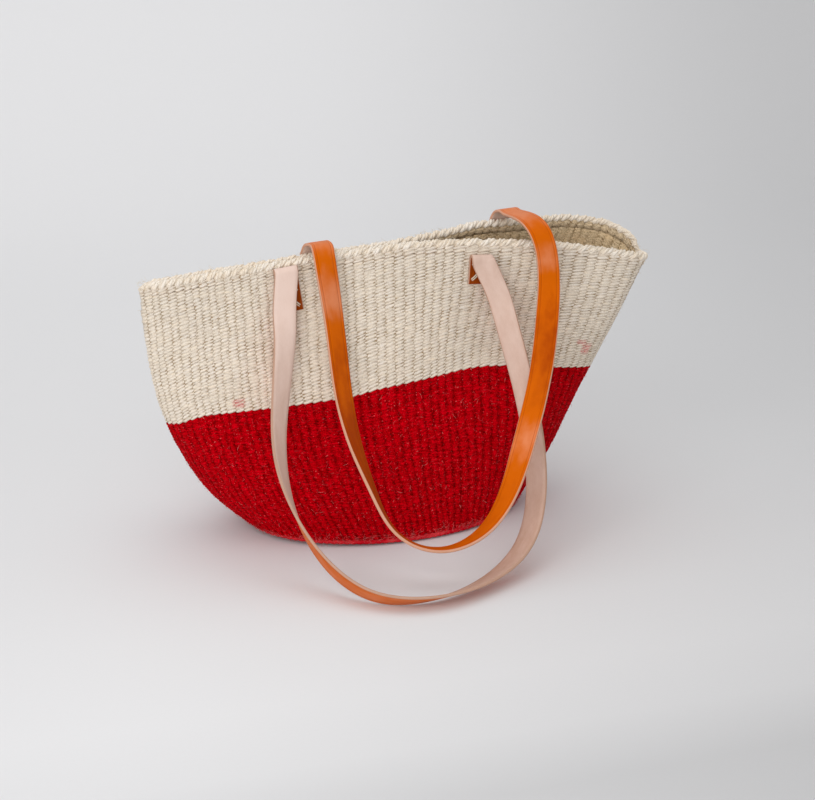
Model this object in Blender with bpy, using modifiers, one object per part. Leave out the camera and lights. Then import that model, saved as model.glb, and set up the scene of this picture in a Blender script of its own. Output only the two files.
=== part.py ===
"""Kiondo basket: a twined sisal tote with two leather shoulder straps.

Frame: origin on the floor at the middle of the base, Z up, the mouth runs along X,
the front wall faces -Y. All lengths are in metres.
"""
import bpy
import bmesh
import numpy as np
from math import pi

# Driving sizes
mouth_length = 0.511
mouth_opening = 0.077
base_length = 0.274
base_depth = 0.164
basket_height = 0.291
wall_thickness = 0.005
base_thickness = 0.005
ridge_diameter = 0.0064
rim_height = 0.012
rim_thickness = 0.0075
front_dent = 0.018
strap_width = 0.022
strap_thickness = 0.0028
front_reach = 0.144
rear_reach = 0.106
fold_radius = 0.0032
left_tab_length = 0.040
right_tab_length = 0.0245
left_tab_slew = 0.0045
right_tab_slew = -0.0020
rear_tab_length = 0.040
thread_width = 0.0012
join_gap = 0.0003
sewn_gap = 0.0008
hinge_gap = 0.0005

# Numbers of facets
around_count = 80
tube_count = 8
red_rows = 6
natural_rows = 7
loop_steps = 84
end_steps = 22

# Outline tables, all as shares. The levels go up the wall from the ridge to the rim.
level_shares = np.array([0.0, 0.2, 0.4, 0.6, 0.8, 1.0])
left_reach_share = 0.4677
left_flare_shares = np.array([0.0, 0.392, 0.676, 0.853, 0.941, 1.0])
right_flare_shares = np.array([0.0, 0.230, 0.422, 0.607, 0.807, 1.0])
left_height_shares = np.array([0.031, 0.160, 0.337, 0.522, 0.715, 0.907])
right_height_shares = np.array([0.024, 0.180, 0.3505, 0.5155, 0.687, 0.859])
middle_height_shares = np.array([0.0155, 0.202, 0.402, 0.601, 0.801, 1.0])
left_end_depth_shares = np.array([0.0, 0.012, 0.0, -0.030, -0.067, -0.085])
right_end_depth_shares = np.array([0.0, -0.018, -0.030, -0.037, -0.030, -0.018])
front_bulge_shares = np.array([0.5, 0.502, 0.463, 0.378, 0.280, 0.220])
back_bulge_shares = np.array([0.5, 0.484, 0.451, 0.378, 0.268, 0.0])
mouth_shape_shares = np.array([0.0, 0.0, 0.04, 0.25, 0.65, 1.0])
# Along the mouth from its left end to its right end
mouth_station_shares = np.array([0.0, 0.015, 0.06, 0.40, 0.47, 0.53, 0.60, 0.67,
                                 0.75, 0.83, 0.90, 0.95, 0.98, 1.0])
mouth_hold_shares = np.array([0.0, 0.70, 1.0, 1.0, 1.0, 1.0, 1.0, 1.0,
                              1.0, 1.0, 1.0, 1.0, 0.8, 0.0])
mouth_open_shares = np.array([0.0, 0.0, 0.0, 0.0, 0.022, 0.139, 0.343, 0.504,
                              0.693, 0.912, 1.0, 0.898, 0.606, 0.0])
front_lip_station_shares = np.array([0.0, 0.03, 0.1, 0.25, 0.5, 0.75, 0.88, 0.95, 0.985, 1.0])
front_lip_shares = np.array([0.0, 0.25, 0.5, 0.85, 1.0, 1.0, 0.97, 0.88, 0.62, 0.0])
back_lift_share = 0.031
dent_place_share = 0.70
dent_level_share = 0.62
dent_width_share = 0.13
dent_height_share = 0.20
colour_station_shares = np.array([0.0, 0.2, 0.5, 0.75, 1.0])
colour_level_shares = np.array([0.510, 0.525, 0.545, 0.560, 0.552])

# Loops of the straps: place as shares of (mouth_length, reach in front of the base,
# basket_height), then the direction of the side that faces the viewer where the strap hangs.
front_loop_shares = (
    (-0.2225, -0.1473, 0.8350, -0.04, -0.96, 0.26),
    (-0.2276, -0.0892, 0.7440, 0.21, -0.95, 0.23),
    (-0.2460, 0.0191, 0.5600, 0.52, -0.83, 0.20),
    (-0.2583, 0.1577, 0.3808, 0.76, -0.58, 0.28),
    (-0.2440, 0.3548, 0.2165, 0.93, -0.09, 0.36),
    (-0.2045, 0.6076, 0.0920, 0.87, 0.29, 0.41),
    (-0.1370, 0.8889, 0.0340, 0.51, 0.56, 0.65),
    (-0.0339, 0.9848, 0.0300, -0.04, 0.51, 0.86),
    (0.0706, 0.8660, 0.0390, -0.26, 0.25, 0.93),
    (0.1583, 0.6723, 0.0973, -0.56, -0.11, 0.82),
    (0.2074, 0.4320, 0.2216, -0.71, -0.39, 0.59),
    (0.2215, 0.2153, 0.3818, -0.71, -0.61, 0.35),
    (0.2131, 0.0583, 0.5588, -0.63, -0.76, 0.20),
    (0.1926, -0.0531, 0.7400, -0.43, -0.88, 0.19),
    (0.1800, -0.1316, 0.8350, -0.20, -0.93, 0.28),
)
rear_loop_shares = (
    (-0.1466, -0.1887, 0.9715, 0.20, -0.92, 0.30),
    (-0.1384, -0.1179, 0.8234, 0.36, -0.91, 0.23),
    (-0.1350, -0.0038, 0.6780, 0.41, -0.86, 0.31),
    (-0.1327, 0.1499, 0.5378, 0.52, -0.76, 0.40),
    (-0.1237, 0.3509, 0.4065, 0.70, -0.54, 0.47),
    (-0.1061, 0.5765, 0.2835, 0.83, -0.28, 0.47),
    (-0.0757, 0.8047, 0.1698, 0.73, -0.01, 0.68),
    (-0.0057, 0.9792, 0.1268, 0.02, 0.27, 0.96),
    (0.0736, 0.9972, 0.1766, -0.57, 0.10, 0.82),
    (0.1303, 0.8679, 0.2784, -0.68, -0.28, 0.67),
    (0.1708, 0.6802, 0.3928, -0.57, -0.52, 0.63),
    (0.2082, 0.4756, 0.5065, -0.50, -0.60, 0.61),
    (0.2413, 0.2567, 0.6213, -0.46, -0.69, 0.55),
    (0.2665, 0.0453, 0.7436, -0.34, -0.80, 0.49),
    (0.2818, -0.1330, 0.8770, -0.04, -0.93, 0.36),
    (0.2752, -0.2264, 0.9880, -0.08, -0.66, 0.75),
    (0.2625, -0.4434, 1.0330, -0.05, -0.25, 0.97),
)
front_left_share = -0.2130
front_right_share = 0.1590
front_fold_share = 0.966
front_right_fold_share = 0.936
rear_left_share = -0.1545
rear_right_share = 0.2440
rear_left_arch_rise = 0.0100
rear_right_arch_rise = 0.0145
rear_left_arch_advance = 0.0165
rear_right_arch_advance = 0.0175
axis_rise = 0.0010
stitch_height_share = 0.42
stitch_width_share = 0.42
front_stitch_share = 0.55
rear_stitch_share = 0.55
rear_tab_bend_share = 0.45
under_braid_share = 0.004
arch_angles = (0.35, 0.75, 1.15)
arch_start_angles = (0.0, 0.15, 0.30)

# Colours
red_sisal = (0.52, 0.004, 0.012, 1.0)
ridge_red = (0.60, 0.012, 0.020, 1.0)
cream_sisal = (0.78, 0.70, 0.58, 1.0)
rim_cream = (0.82, 0.75, 0.64, 1.0)
base_red = (0.40, 0.003, 0.010, 1.0)
tan_leather = (0.62, 0.17, 0.03, 1.0)
tab_leather = (0.50, 0.13, 0.03, 1.0)
waxed_thread = (0.85, 0.78, 0.66, 1.0)


def clear_scene():
    for item in list(bpy.data.objects):
        bpy.data.objects.remove(item, do_unlink=True)
    for group in list(bpy.data.collections):
        bpy.data.collections.remove(group)


def smooth_between(places, values, wanted):
    """Monotone cubic through a table, so that no overshoot appears."""
    step = np.diff(places)
    slope = np.diff(values) / step
    tangent = np.zeros(len(places))
    for i in range(1, len(places) - 1):
        if slope[i - 1] * slope[i] > 0:
            first = 2 * step[i] + step[i - 1]
            second = step[i] + 2 * step[i - 1]
            tangent[i] = (first + second) / (first / slope[i - 1] + second / slope[i])
    tangent[0], tangent[-1] = slope[0], slope[-1]
    wanted = np.asarray(wanted, float)
    k = np.clip(np.searchsorted(places, wanted) - 1, 0, len(step) - 1)
    s = np.clip((wanted - places[k]) / step[k], 0.0, 1.0)
    return ((2 * s**3 - 3 * s**2 + 1) * values[k] + (s**3 - 2 * s**2 + s) * step[k] * tangent[k]
            + (3 * s**2 - 2 * s**3) * values[k + 1] + (s**3 - s**2) * step[k] * tangent[k + 1])


def level_curve(values, level):
    """Natural cubic through the levels of the wall."""
    n = len(level_shares)
    h = np.diff(level_shares)
    matrix = np.eye(n)
    right = np.zeros(n)
    for i in range(1, n - 1):
        matrix[i, i - 1], matrix[i, i], matrix[i, i + 1] = h[i - 1], 2 * (h[i - 1] + h[i]), h[i]
        right[i] = 6 * ((values[i + 1] - values[i]) / h[i] - (values[i] - values[i - 1]) / h[i - 1])
    bend = np.linalg.solve(matrix, right)
    k = np.clip(np.searchsorted(level_shares, level) - 1, 0, n - 2)
    d = level - level_shares[k]
    return (values[k] + d * ((values[k + 1] - values[k]) / h[k] - h[k] * (2 * bend[k] + bend[k + 1]) / 6)
            + d * d * bend[k] / 2 + d**3 * (bend[k + 1] - bend[k]) / (6 * h[k]))


def wall_point(angle, level):
    """Middle of the wall. The angle runs round the basket from its right end, level 0 to 1."""
    angle = np.asarray(angle, float)
    level = np.broadcast_to(np.asarray(level, float), angle.shape)
    side, away = np.cos(angle), np.sin(angle)
    along = (1 + side) / 2
    bulk = np.abs(away)
    left = base_length / 2 + (left_reach_share * mouth_length - base_length / 2) \
        * level_curve(left_flare_shares, level)
    right = base_length / 2 + ((1 - left_reach_share) * mouth_length - base_length / 2) \
        * level_curve(right_flare_shares, level)
    x = -left + (left + right) * along
    ends = base_depth * (level_curve(left_end_depth_shares, level) * (1 - along)
                         + level_curve(right_end_depth_shares, level) * along)
    mouth = np.clip(level_curve(mouth_shape_shares, level), 0.0, 1.0)
    lip = smooth_between(front_lip_station_shares, front_lip_shares, along)
    bulge = base_depth * level_curve(front_bulge_shares, level)
    front = ends - bulge * ((1 - mouth) * bulk + mouth * lip)
    dent = front_dent * np.exp(-((along - dent_place_share) / dent_width_share) ** 2) \
        * np.exp(-((level - dent_level_share) / dent_height_share) ** 2)
    closed = rim_thickness + 2 * sewn_gap
    hold = smooth_between(mouth_station_shares, mouth_hold_shares, along)
    opened = smooth_between(mouth_station_shares, mouth_open_shares, along)
    gap = closed * hold + (mouth_opening - closed) * opened
    low_back = ends + base_depth * level_curve(back_bulge_shares, level) * bulk
    back = low_back * (1 - mouth) + (ends - bulge * lip + gap) * mouth
    y = np.where(away < 0, front + dent, back)
    low = level_curve(left_height_shares, level) * (1 - along) \
        + level_curve(right_height_shares, level) * along
    middle = level_curve(middle_height_shares, level)
    mean = (level_curve(left_height_shares, level) + level_curve(right_height_shares, level)) / 2
    arch = (1 - mouth) * bulk**1.3 + mouth * np.where(along < 0.5, 0.5 * bulk**2 + along, bulk**1.8)
    lift = np.where(away < 0, 0.0, mouth * back_lift_share * opened)
    z = basket_height * (low + (middle - mean) * arch + lift)
    return np.stack([x, y, z], axis=-1)


def wall_frame(angle, level):
    """Point, outward direction and upward direction on the middle of the wall."""
    angle = np.asarray(angle, float)
    step = 0.002
    point = wall_point(angle, level)
    round_way = wall_point(angle + step, level) - wall_point(angle - step, level)
    level = np.broadcast_to(np.asarray(level, float), angle.shape)
    up = wall_point(angle, np.minimum(level + step, 1.0)) - wall_point(angle, np.maximum(level - step, 0.0))
    out = np.cross(round_way, up)
    out /= np.linalg.norm(out, axis=-1)[..., None]
    up /= np.linalg.norm(up, axis=-1)[..., None]
    return point, out, up


def wall_slant():
    angle = np.linspace(0.0, 2 * pi, 4 * around_count, endpoint=False)
    part = wall_point(angle, 0.03) - wall_point(angle, 0.0)
    whole = wall_point(angle, 1.0) - wall_point(angle, 0.97)
    return np.linalg.norm(part, axis=-1).min() / 0.03, np.linalg.norm(whole, axis=-1).min() / 0.03


def angle_at(x, level, behind=False):
    """Angle of the wall point that has this x, on the front or on the back."""
    angle = np.linspace(pi, 2 * pi, 721) if not behind else np.linspace(pi, 0.0, 721)
    place = wall_point(angle, level)[:, 0]
    return float(np.interp(x, place, angle))


def make_material(name, colour, roughness):
    material = bpy.data.materials.new(name)
    material.use_nodes = True
    shader = material.node_tree.nodes["Principled BSDF"]
    shader.inputs["Base Color"].default_value = colour
    shader.inputs["Roughness"].default_value = roughness
    material.diffuse_color = colour
    return material


def finish_object(name, mesh, group, material, origin=None):
    mesh.materials.append(material)
    item = bpy.data.objects.new(name, mesh)
    group.objects.link(item)
    if origin is not None:
        for vertex in mesh.vertices:
            vertex.co = vertex.co - type(vertex.co)(origin)
        item.location = origin
    return item


def loft_ring(name, sections, group, material):
    """Closed band: every section is a closed loop of points and the last joins the first."""
    count, size = len(sections), len(sections[0])
    verts = [tuple(p) for section in sections for p in section]
    faces = []
    for i in range(count):
        j = (i + 1) % count
        for k in range(size):
            m = (k + 1) % size
            faces.append((i * size + k, j * size + k, j * size + m, i * size + m))
    mesh = bpy.data.meshes.new(name)
    mesh.from_pydata(verts, [], faces)
    fix_normals(mesh)
    return finish_object(name, mesh, group, material)


def fix_normals(mesh):
    shape = bmesh.new()
    shape.from_mesh(mesh)
    bmesh.ops.recalc_face_normals(shape, faces=shape.faces)
    shape.to_mesh(mesh)
    shape.free()
    mesh.update()


def wall_band(name, bottom, top, rows, group, material):
    """Part of the wall between two levels, given as functions of the angle."""
    angle = np.linspace(0.0, 2 * pi, around_count, endpoint=False)
    low, high = bottom(angle), top(angle)
    outside, inside = [], []
    for row in range(rows + 1):
        level = low + (high - low) * row / rows
        point, out, up = wall_frame(angle, level)
        outside.append(point + out * wall_thickness / 2)
        inside.append(point - out * wall_thickness / 2)
    sections = []
    for i in range(around_count):
        loop = [outside[row][i] for row in range(rows + 1)]
        loop += [inside[row][i] for row in range(rows, -1, -1)]
        sections.append(loop)
    return loft_ring(name, sections, group, material)


def tube_band(name, level, wide, tall, group, material):
    """Rounded ring that follows the wall at one level."""
    angle = np.linspace(0.0, 2 * pi, around_count, endpoint=False)
    point, out, up = wall_frame(angle, level)
    turn = np.linspace(0.0, 2 * pi, tube_count, endpoint=False)
    sections = []
    for i in range(around_count):
        sections.append([point[i] + out[i] * wide / 2 * np.cos(t) + up[i] * tall / 2 * np.sin(t)
                         for t in turn])
    return loft_ring(name, sections, group, material)


def make_base(name, group, material):
    """Flat oval floor of the basket, inside the ridge."""
    inset = ridge_diameter / 2 + join_gap
    angle = np.linspace(0.0, 2 * pi, around_count, endpoint=False)
    point, out, up = wall_frame(angle, 0.0)
    flat = out.copy()
    flat[:, 2] = 0.0
    flat /= np.linalg.norm(flat, axis=1)[:, None]
    edge = point - flat * inset
    shape = bmesh.new()
    ring = [shape.verts.new((p[0], p[1], 0.0)) for p in edge]
    face = shape.faces.new(ring)
    lifted = bmesh.ops.extrude_face_region(shape, geom=[face])
    top = [v for v in lifted["geom"] if isinstance(v, bmesh.types.BMVert)]
    bmesh.ops.translate(shape, verts=top, vec=(0.0, 0.0, base_thickness))
    bmesh.ops.recalc_face_normals(shape, faces=shape.faces)
    mesh = bpy.data.meshes.new(name)
    shape.to_mesh(mesh)
    shape.free()
    return finish_object(name, mesh, group, material)


def curve_through(points, count):
    """Samples on a smooth curve through the points, closer together where the points are."""
    points = np.asarray(points, float)
    chord = np.r_[0.0, np.cumsum(np.sqrt(np.linalg.norm(np.diff(points[:, :3], axis=0), axis=1)))]
    n = len(points)
    h = np.diff(chord)
    matrix = np.eye(n)
    matrix[0, 1] = matrix[-1, -2] = -1.0
    right = np.zeros((n, points.shape[1]))
    for i in range(1, n - 1):
        matrix[i, i - 1], matrix[i, i], matrix[i, i + 1] = h[i - 1], 2 * (h[i - 1] + h[i]), h[i]
        right[i] = 6 * ((points[i + 1] - points[i]) / h[i] - (points[i] - points[i - 1]) / h[i - 1])
    bend = np.linalg.solve(matrix, right)

    def value(t):
        k = np.clip(np.searchsorted(chord, t) - 1, 0, n - 2)
        d = (t - chord[k])[:, None]
        hh = h[k][:, None]
        return (points[k] + d * ((points[k + 1] - points[k]) / hh - hh * (2 * bend[k] + bend[k + 1]) / 6)
                + d * d * bend[k] / 2 + d**3 * (bend[k + 1] - bend[k]) / (6 * hh))
    return value(np.linspace(0.0, chord[-1], count))


def strap_frames(path):
    """Centre, direction, width direction and face direction along a strap."""
    centre = path[:, :3]
    along = np.gradient(centre, axis=0)
    along /= np.linalg.norm(along, axis=1)[:, None]
    face = path[:, 3:]
    face = face - along * np.sum(face * along, axis=1)[:, None]
    face /= np.linalg.norm(face, axis=1)[:, None]
    return centre, along, np.cross(along, face), face


def make_strap(name, path, group, material, origin=None):
    """Flat strap: a ribbon of the full width, thickened by a modifier."""
    centre, along, across, face = strap_frames(path)
    count = len(centre)
    verts = []
    for i in range(count):
        verts.append(tuple(centre[i] - across[i] * strap_width / 2))
        verts.append(tuple(centre[i] + across[i] * strap_width / 2))
    faces = [(2 * i, 2 * i + 1, 2 * i + 3, 2 * i + 2) for i in range(count - 1)]
    mesh = bpy.data.meshes.new(name)
    mesh.from_pydata(verts, [], faces)
    item = finish_object(name, mesh, group, material, origin)
    thick = item.modifiers.new("thickness", "SOLIDIFY")
    thick.thickness = strap_thickness
    thick.offset = 0.0
    return item


def make_stitch(name, centre, across, up, face, group, material):
    """Crossed waxed thread on the sewn end of a strap, as one flat cross."""
    half_wide = strap_width * stitch_width_share
    half_tall = strap_width * stitch_height_share
    lean = np.array([half_wide, half_tall])
    size = np.linalg.norm(lean)
    one = lean / size
    two = np.array([-one[0], one[1]])
    half = thread_width / 2
    normal_one = np.array([-one[1], one[0]])
    normal_two = np.array([-two[1], two[0]])
    corner = []
    arms = ((one, normal_one), (two, normal_two), (-one, -normal_one), (-two, -normal_two))
    for i, (way, side) in enumerate(arms):
        following, following_side = arms[(i + 1) % 4]
        corner.append(way * size - side * half)
        corner.append(way * size + side * half)
        first = side * half
        second = -following_side * half
        matrix = np.array([[way[0], -following[0]], [way[1], -following[1]]])
        step = np.linalg.solve(matrix, second - first)
        corner.append(first + way * step[0])
    shape = bmesh.new()
    lift = strap_thickness / 2 + sewn_gap
    ring = [shape.verts.new(tuple(centre + across * c[0] + up * c[1] + face * lift)) for c in corner]
    flat = shape.faces.new(ring)
    raised = bmesh.ops.extrude_face_region(shape, geom=[flat])
    moved = [v for v in raised["geom"] if isinstance(v, bmesh.types.BMVert)]
    bmesh.ops.translate(shape, verts=moved, vec=tuple(face * thread_width))
    bmesh.ops.recalc_face_normals(shape, faces=shape.faces)
    mesh = bpy.data.meshes.new(name)
    shape.to_mesh(mesh)
    shape.free()
    return finish_object(name, mesh, group, material)


def front_end(x_share, fold_share, tab_length, slew):
    """Sewn end on the front wall: from the lower end of the tab to the top of the fold."""
    x = x_share * mouth_length
    fold_level = fold_share
    clear = wall_thickness / 2 + sewn_gap + strap_thickness / 2
    low_level = fold_level - tab_length / basket_height
    low, out, up = wall_frame(np.array([angle_at(x + slew, low_level)]), low_level)
    high, high_out, high_up = wall_frame(np.array([angle_at(x, fold_level)]), fold_level)
    bottom = low[0] + out[0] * clear
    top = high[0] + high_out[0] * clear
    rise = (top - bottom) / np.linalg.norm(top - bottom)
    forward = -(high_out[0] - rise * (high_out[0] @ rise))
    forward /= -np.linalg.norm(forward)
    crown = top + rise * fold_radius + forward * fold_radius
    turned = top + forward * 2 * fold_radius
    return bottom, top, crown, turned, rise, forward


def bend_points(corner, rise, forward, start, stop, count):
    """Points on the round of a fold, with the direction of the outer side."""
    points = []
    for t in np.linspace(start, stop, count):
        way = -forward * np.cos(t) + rise * np.sin(t)
        points.append(np.r_[corner + way * fold_radius, way])
    return points


def front_strap(group, materials):
    left = front_end(front_left_share, front_fold_share, left_tab_length, left_tab_slew)
    right = front_end(front_right_share, front_right_fold_share, right_tab_length, right_tab_slew)
    ends = []
    for side, end in (("left", left), ("right", right)):
        bottom, top, crown, turned, rise, forward = end
        middle = top + forward * fold_radius
        path = [np.r_[bottom + (top - bottom) * s, -forward] for s in np.linspace(0.0, 0.9, 4)]
        path += bend_points(middle, rise, forward, 0.0, pi / 2 - hinge_gap / fold_radius, 5)
        path = curve_through(path, end_steps)
        make_strap("front_handle_%s_end" % side, path, group, materials["tab"])
        centre = bottom + rise * strap_width * front_stitch_share
        across = np.cross(rise, forward)
        make_stitch("front_%s_stitch" % side, centre, across, rise, forward, group, materials["thread"])
        ends.append((middle, rise, forward, crown))
    path = list(bend_points(ends[0][0], ends[0][1], ends[0][2], pi / 2 + hinge_gap / fold_radius, pi, 5))
    path += [np.r_[r[0] * mouth_length, -base_depth / 2 - r[1] * front_reach, r[2] * basket_height, r[3:]]
             for r in front_loop_shares]
    path += list(bend_points(ends[1][0], ends[1][1], ends[1][2], pi / 2 + hinge_gap / fold_radius, pi, 5))[::-1]
    path = rest_on_floor(np.array(path))
    centre_line = curve_through(path, loop_steps)
    rise = strap_thickness / 2 + axis_rise
    first = ends[0][3] + ends[0][1] * rise
    last = ends[1][3] + ends[1][1] * rise
    make_strap("front_handle", centre_line, group, materials["strap"], tuple((first + last) / 2))
    return first, last


def rest_on_floor(path):
    """Lower the loop, or lift it, until its lowest edge just stands on the floor."""
    for turn in range(3):
        centre, along, across, face = strap_frames(curve_through(path, loop_steps))
        edge = centre[:, 2] - np.abs(across[:, 2]) * strap_width / 2 \
            - np.abs(face[:, 2]) * strap_thickness / 2
        top = path[:, 2].max()
        change = join_gap - edge.min()
        path[:, 2] += change * np.clip(1 - path[:, 2] / top, 0.0, 1.0)
    return path


def rear_tab(x_share):
    """Sewn end behind the back wall, from its lower end up to the rim."""
    x = x_share * mouth_length
    path = []
    half = strap_thickness / 2
    braid_low = 1 - rim_height / basket_height
    places = ((braid_low - rear_tab_length / basket_height, wall_thickness / 2),
              (braid_low - rear_tab_length / basket_height * rear_tab_bend_share, wall_thickness / 2),
              (braid_low - under_braid_share, (wall_thickness + rim_thickness) / 4 + sewn_gap / 2),
              (1 - rim_height / basket_height / 2, rim_thickness / 2))
    frames = []
    for level, skin in places:
        point, out, up = wall_frame(np.array([angle_at(x, level, True)]), level)
        frames.append((point[0] + out[0] * (skin + sewn_gap + half), out[0], up[0]))
        path.append(np.r_[frames[-1][0], out[0]])
    return frames, path


def rear_end(tab, flat, rise_over, advance):
    """The tab and the arch after it, over the rim to the arch's top."""
    frames, path = tab
    top = frames[-1][0]
    straight = np.array([0.0, 0.0, 1.0])
    height = rim_height / 2 + rise_over
    crown = top - flat * advance + straight * height
    for t in arch_angles:
        way = flat * np.cos(t) + straight * np.sin(t)
        path.append(np.r_[top - flat * advance * (1 - np.cos(t)) + straight * height * np.sin(t), way])
    path.append(np.r_[crown, straight])
    return frames, np.array(path), crown, flat


def rear_strap(group, materials):
    tabs = [rear_tab(rear_left_share), rear_tab(rear_right_share)]
    line = tabs[1][0][-1][0] - tabs[0][0][-1][0]
    flat = np.array([-line[1], line[0], 0.0])
    flat /= np.linalg.norm(flat)
    ends = [rear_end(tabs[0], flat, rear_left_arch_rise, rear_left_arch_advance),
            rear_end(tabs[1], flat, rear_right_arch_rise, rear_right_arch_advance)]
    for side, (frames, path, crown, flat) in zip(("left", "right"), ends):
        short = path.copy()
        short[-1, :3] += flat * hinge_gap
        make_strap("rear_handle_%s_end" % side, curve_through(short, end_steps), group, materials["tab"])
        place = frames[0][0] + (frames[1][0] - frames[0][0]) * rear_stitch_share
        rise = frames[1][0] - frames[0][0]
        rise /= np.linalg.norm(rise)
        face = frames[0][1] - rise * (frames[0][1] @ rise)
        face /= np.linalg.norm(face)
        make_stitch("rear_%s_stitch" % side, place, np.cross(rise, face), rise, face, group,
                    materials["thread"])
    straight = np.array([0.0, 0.0, 1.0])
    starts = []
    for end, advance in zip(ends, (rear_left_arch_advance, rear_right_arch_advance)):
        crown, flat = end[2], end[3]
        drop = crown[2] - end[0][-1][0][2]
        starts.append([np.r_[crown - flat * (advance * np.sin(t) + hinge_gap)
                             - straight * drop * (1 - np.cos(t)), straight * np.cos(t) - flat * np.sin(t)]
                       for t in arch_start_angles])
    path = list(starts[0])
    path += [np.r_[r[0] * mouth_length, -base_depth / 2 - r[1] * rear_reach, r[2] * basket_height, r[3:]]
             for r in rear_loop_shares]
    path += starts[1][::-1]
    rise = straight * (strap_thickness / 2 + axis_rise)
    first, last = ends[0][2] + rise, ends[1][2] + rise
    make_strap("rear_handle", curve_through(path, loop_steps), group, materials["strap"],
               tuple((first + last) / 2))
    return first, last


def build():
    clear_scene()
    group = bpy.data.collections.new("kiondo_basket")
    bpy.context.scene.collection.children.link(group)
    materials = {
        "base": make_material("base_red", base_red, 0.85),
        "ridge": make_material("ridge_red", ridge_red, 0.85),
        "red": make_material("red_sisal", red_sisal, 0.85),
        "natural": make_material("cream_sisal", cream_sisal, 0.85),
        "rim": make_material("rim_cream", rim_cream, 0.85),
        "strap": make_material("tan_leather", tan_leather, 0.45),
        "tab": make_material("tab_leather", tab_leather, 0.45),
        "thread": make_material("waxed_thread", waxed_thread, 0.6),
    }
    low_slant, high_slant = wall_slant()
    foot = (ridge_diameter / 2 + join_gap) / low_slant
    seam = join_gap / low_slant
    braid = rim_height / high_slant

    def colour_line(angle):
        return smooth_between(colour_station_shares, colour_level_shares, (1 + np.cos(angle)) / 2)

    make_base("woven_base", group, materials["base"])
    tube_band("base_ridge", 0.0, ridge_diameter, ridge_diameter, group, materials["ridge"])
    wall_band("red_wall", lambda a: np.full(a.shape, foot), lambda a: colour_line(a),
              red_rows, group, materials["red"])
    wall_band("natural_wall", lambda a: colour_line(a) + seam,
              lambda a: np.full(a.shape, 1 - braid - seam), natural_rows, group, materials["natural"])
    tube_band("rim_braid", 1 - braid / 2, rim_thickness, rim_height, group, materials["rim"])
    front = front_strap(group, materials)
    rear = rear_strap(group, materials)
    for name, (first, last) in (("front_handle", front), ("rear_handle", rear)):
        print(name, "axis from", [round(float(v), 5) for v in first],
              "to", [round(float(v), 5) for v in last])


build()
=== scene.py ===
"""Kiondo basket: a twined sisal tote with two leather shoulder straps, dressed for a render.

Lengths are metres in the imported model's frame: Z up, the mouth runs along X and the
front wall faces -Y. Every surface is worked out with numpy from the tables below.
"""

from math import pi, radians

import bpy
import numpy as np
from bpy.props import FloatProperty, FloatVectorProperty, IntProperty, PointerProperty
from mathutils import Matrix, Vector


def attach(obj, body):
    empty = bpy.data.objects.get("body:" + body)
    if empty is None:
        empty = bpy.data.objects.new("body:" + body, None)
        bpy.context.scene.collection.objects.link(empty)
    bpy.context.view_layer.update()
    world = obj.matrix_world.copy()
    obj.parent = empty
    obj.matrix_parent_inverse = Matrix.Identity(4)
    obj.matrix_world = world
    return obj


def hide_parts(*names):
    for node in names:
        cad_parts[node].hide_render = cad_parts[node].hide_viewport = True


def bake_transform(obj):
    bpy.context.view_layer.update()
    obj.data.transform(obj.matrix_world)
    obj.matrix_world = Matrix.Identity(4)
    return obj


bl_info = {
    "name": "Kiondo basket",
    "version": (1, 0, 0),
    "blender": (4, 5, 0),
    "location": "View3D > Sidebar > Kiondo",
    "description": "Weaves a sisal tote basket with two leather straps on its packed frame",
    "category": "Add Mesh",
}

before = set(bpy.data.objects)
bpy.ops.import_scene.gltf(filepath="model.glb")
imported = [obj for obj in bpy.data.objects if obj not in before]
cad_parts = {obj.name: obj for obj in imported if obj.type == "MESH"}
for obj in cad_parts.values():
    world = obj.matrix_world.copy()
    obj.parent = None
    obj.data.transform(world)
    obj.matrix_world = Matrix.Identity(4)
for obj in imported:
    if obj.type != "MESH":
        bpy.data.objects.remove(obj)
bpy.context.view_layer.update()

# Sizes of the basket, the same as the solids'
mouth_length = 0.511
mouth_opening = 0.077
base_length = 0.274
base_depth = 0.164
basket_height = 0.291
wall_thickness = 0.005
base_thickness = 0.005
ridge_diameter = 0.0064
rim_height = 0.012
rim_thickness = 0.0075
front_dent = 0.018
strap_width = 0.022
strap_thickness = 0.0028
front_reach = 0.144
rear_reach = 0.106
fold_radius = 0.0032
left_tab_length = 0.040
right_tab_length = 0.0245
left_tab_slew = 0.0045
right_tab_slew = -0.0020
rear_tab_length = 0.040
thread_width = 0.0012
join_gap = 0.0003
sewn_gap = 0.0008
axis_rise = 0.0010

# Outline tables, all as shares. The levels go up the wall from the ridge to the rim.
level_shares = np.array([0.0, 0.2, 0.4, 0.6, 0.8, 1.0])
left_reach_share = 0.4677
left_flare_shares = np.array([0.0, 0.392, 0.676, 0.853, 0.941, 1.0])
right_flare_shares = np.array([0.0, 0.230, 0.422, 0.607, 0.807, 1.0])
left_height_shares = np.array([0.031, 0.160, 0.337, 0.522, 0.715, 0.907])
right_height_shares = np.array([0.024, 0.180, 0.3505, 0.5155, 0.687, 0.859])
middle_height_shares = np.array([0.0155, 0.202, 0.402, 0.601, 0.801, 1.0])
left_end_depth_shares = np.array([0.0, 0.012, 0.0, -0.030, -0.067, -0.085])
right_end_depth_shares = np.array([0.0, -0.018, -0.030, -0.037, -0.030, -0.018])
front_bulge_shares = np.array([0.5, 0.502, 0.463, 0.378, 0.280, 0.220])
back_bulge_shares = np.array([0.5, 0.484, 0.451, 0.378, 0.268, 0.0])
mouth_shape_shares = np.array([0.0, 0.0, 0.04, 0.25, 0.65, 1.0])
mouth_station_shares = np.array([0.0, 0.015, 0.06, 0.40, 0.47, 0.53, 0.60, 0.67,
                                 0.75, 0.83, 0.90, 0.95, 0.98, 1.0])
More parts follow.
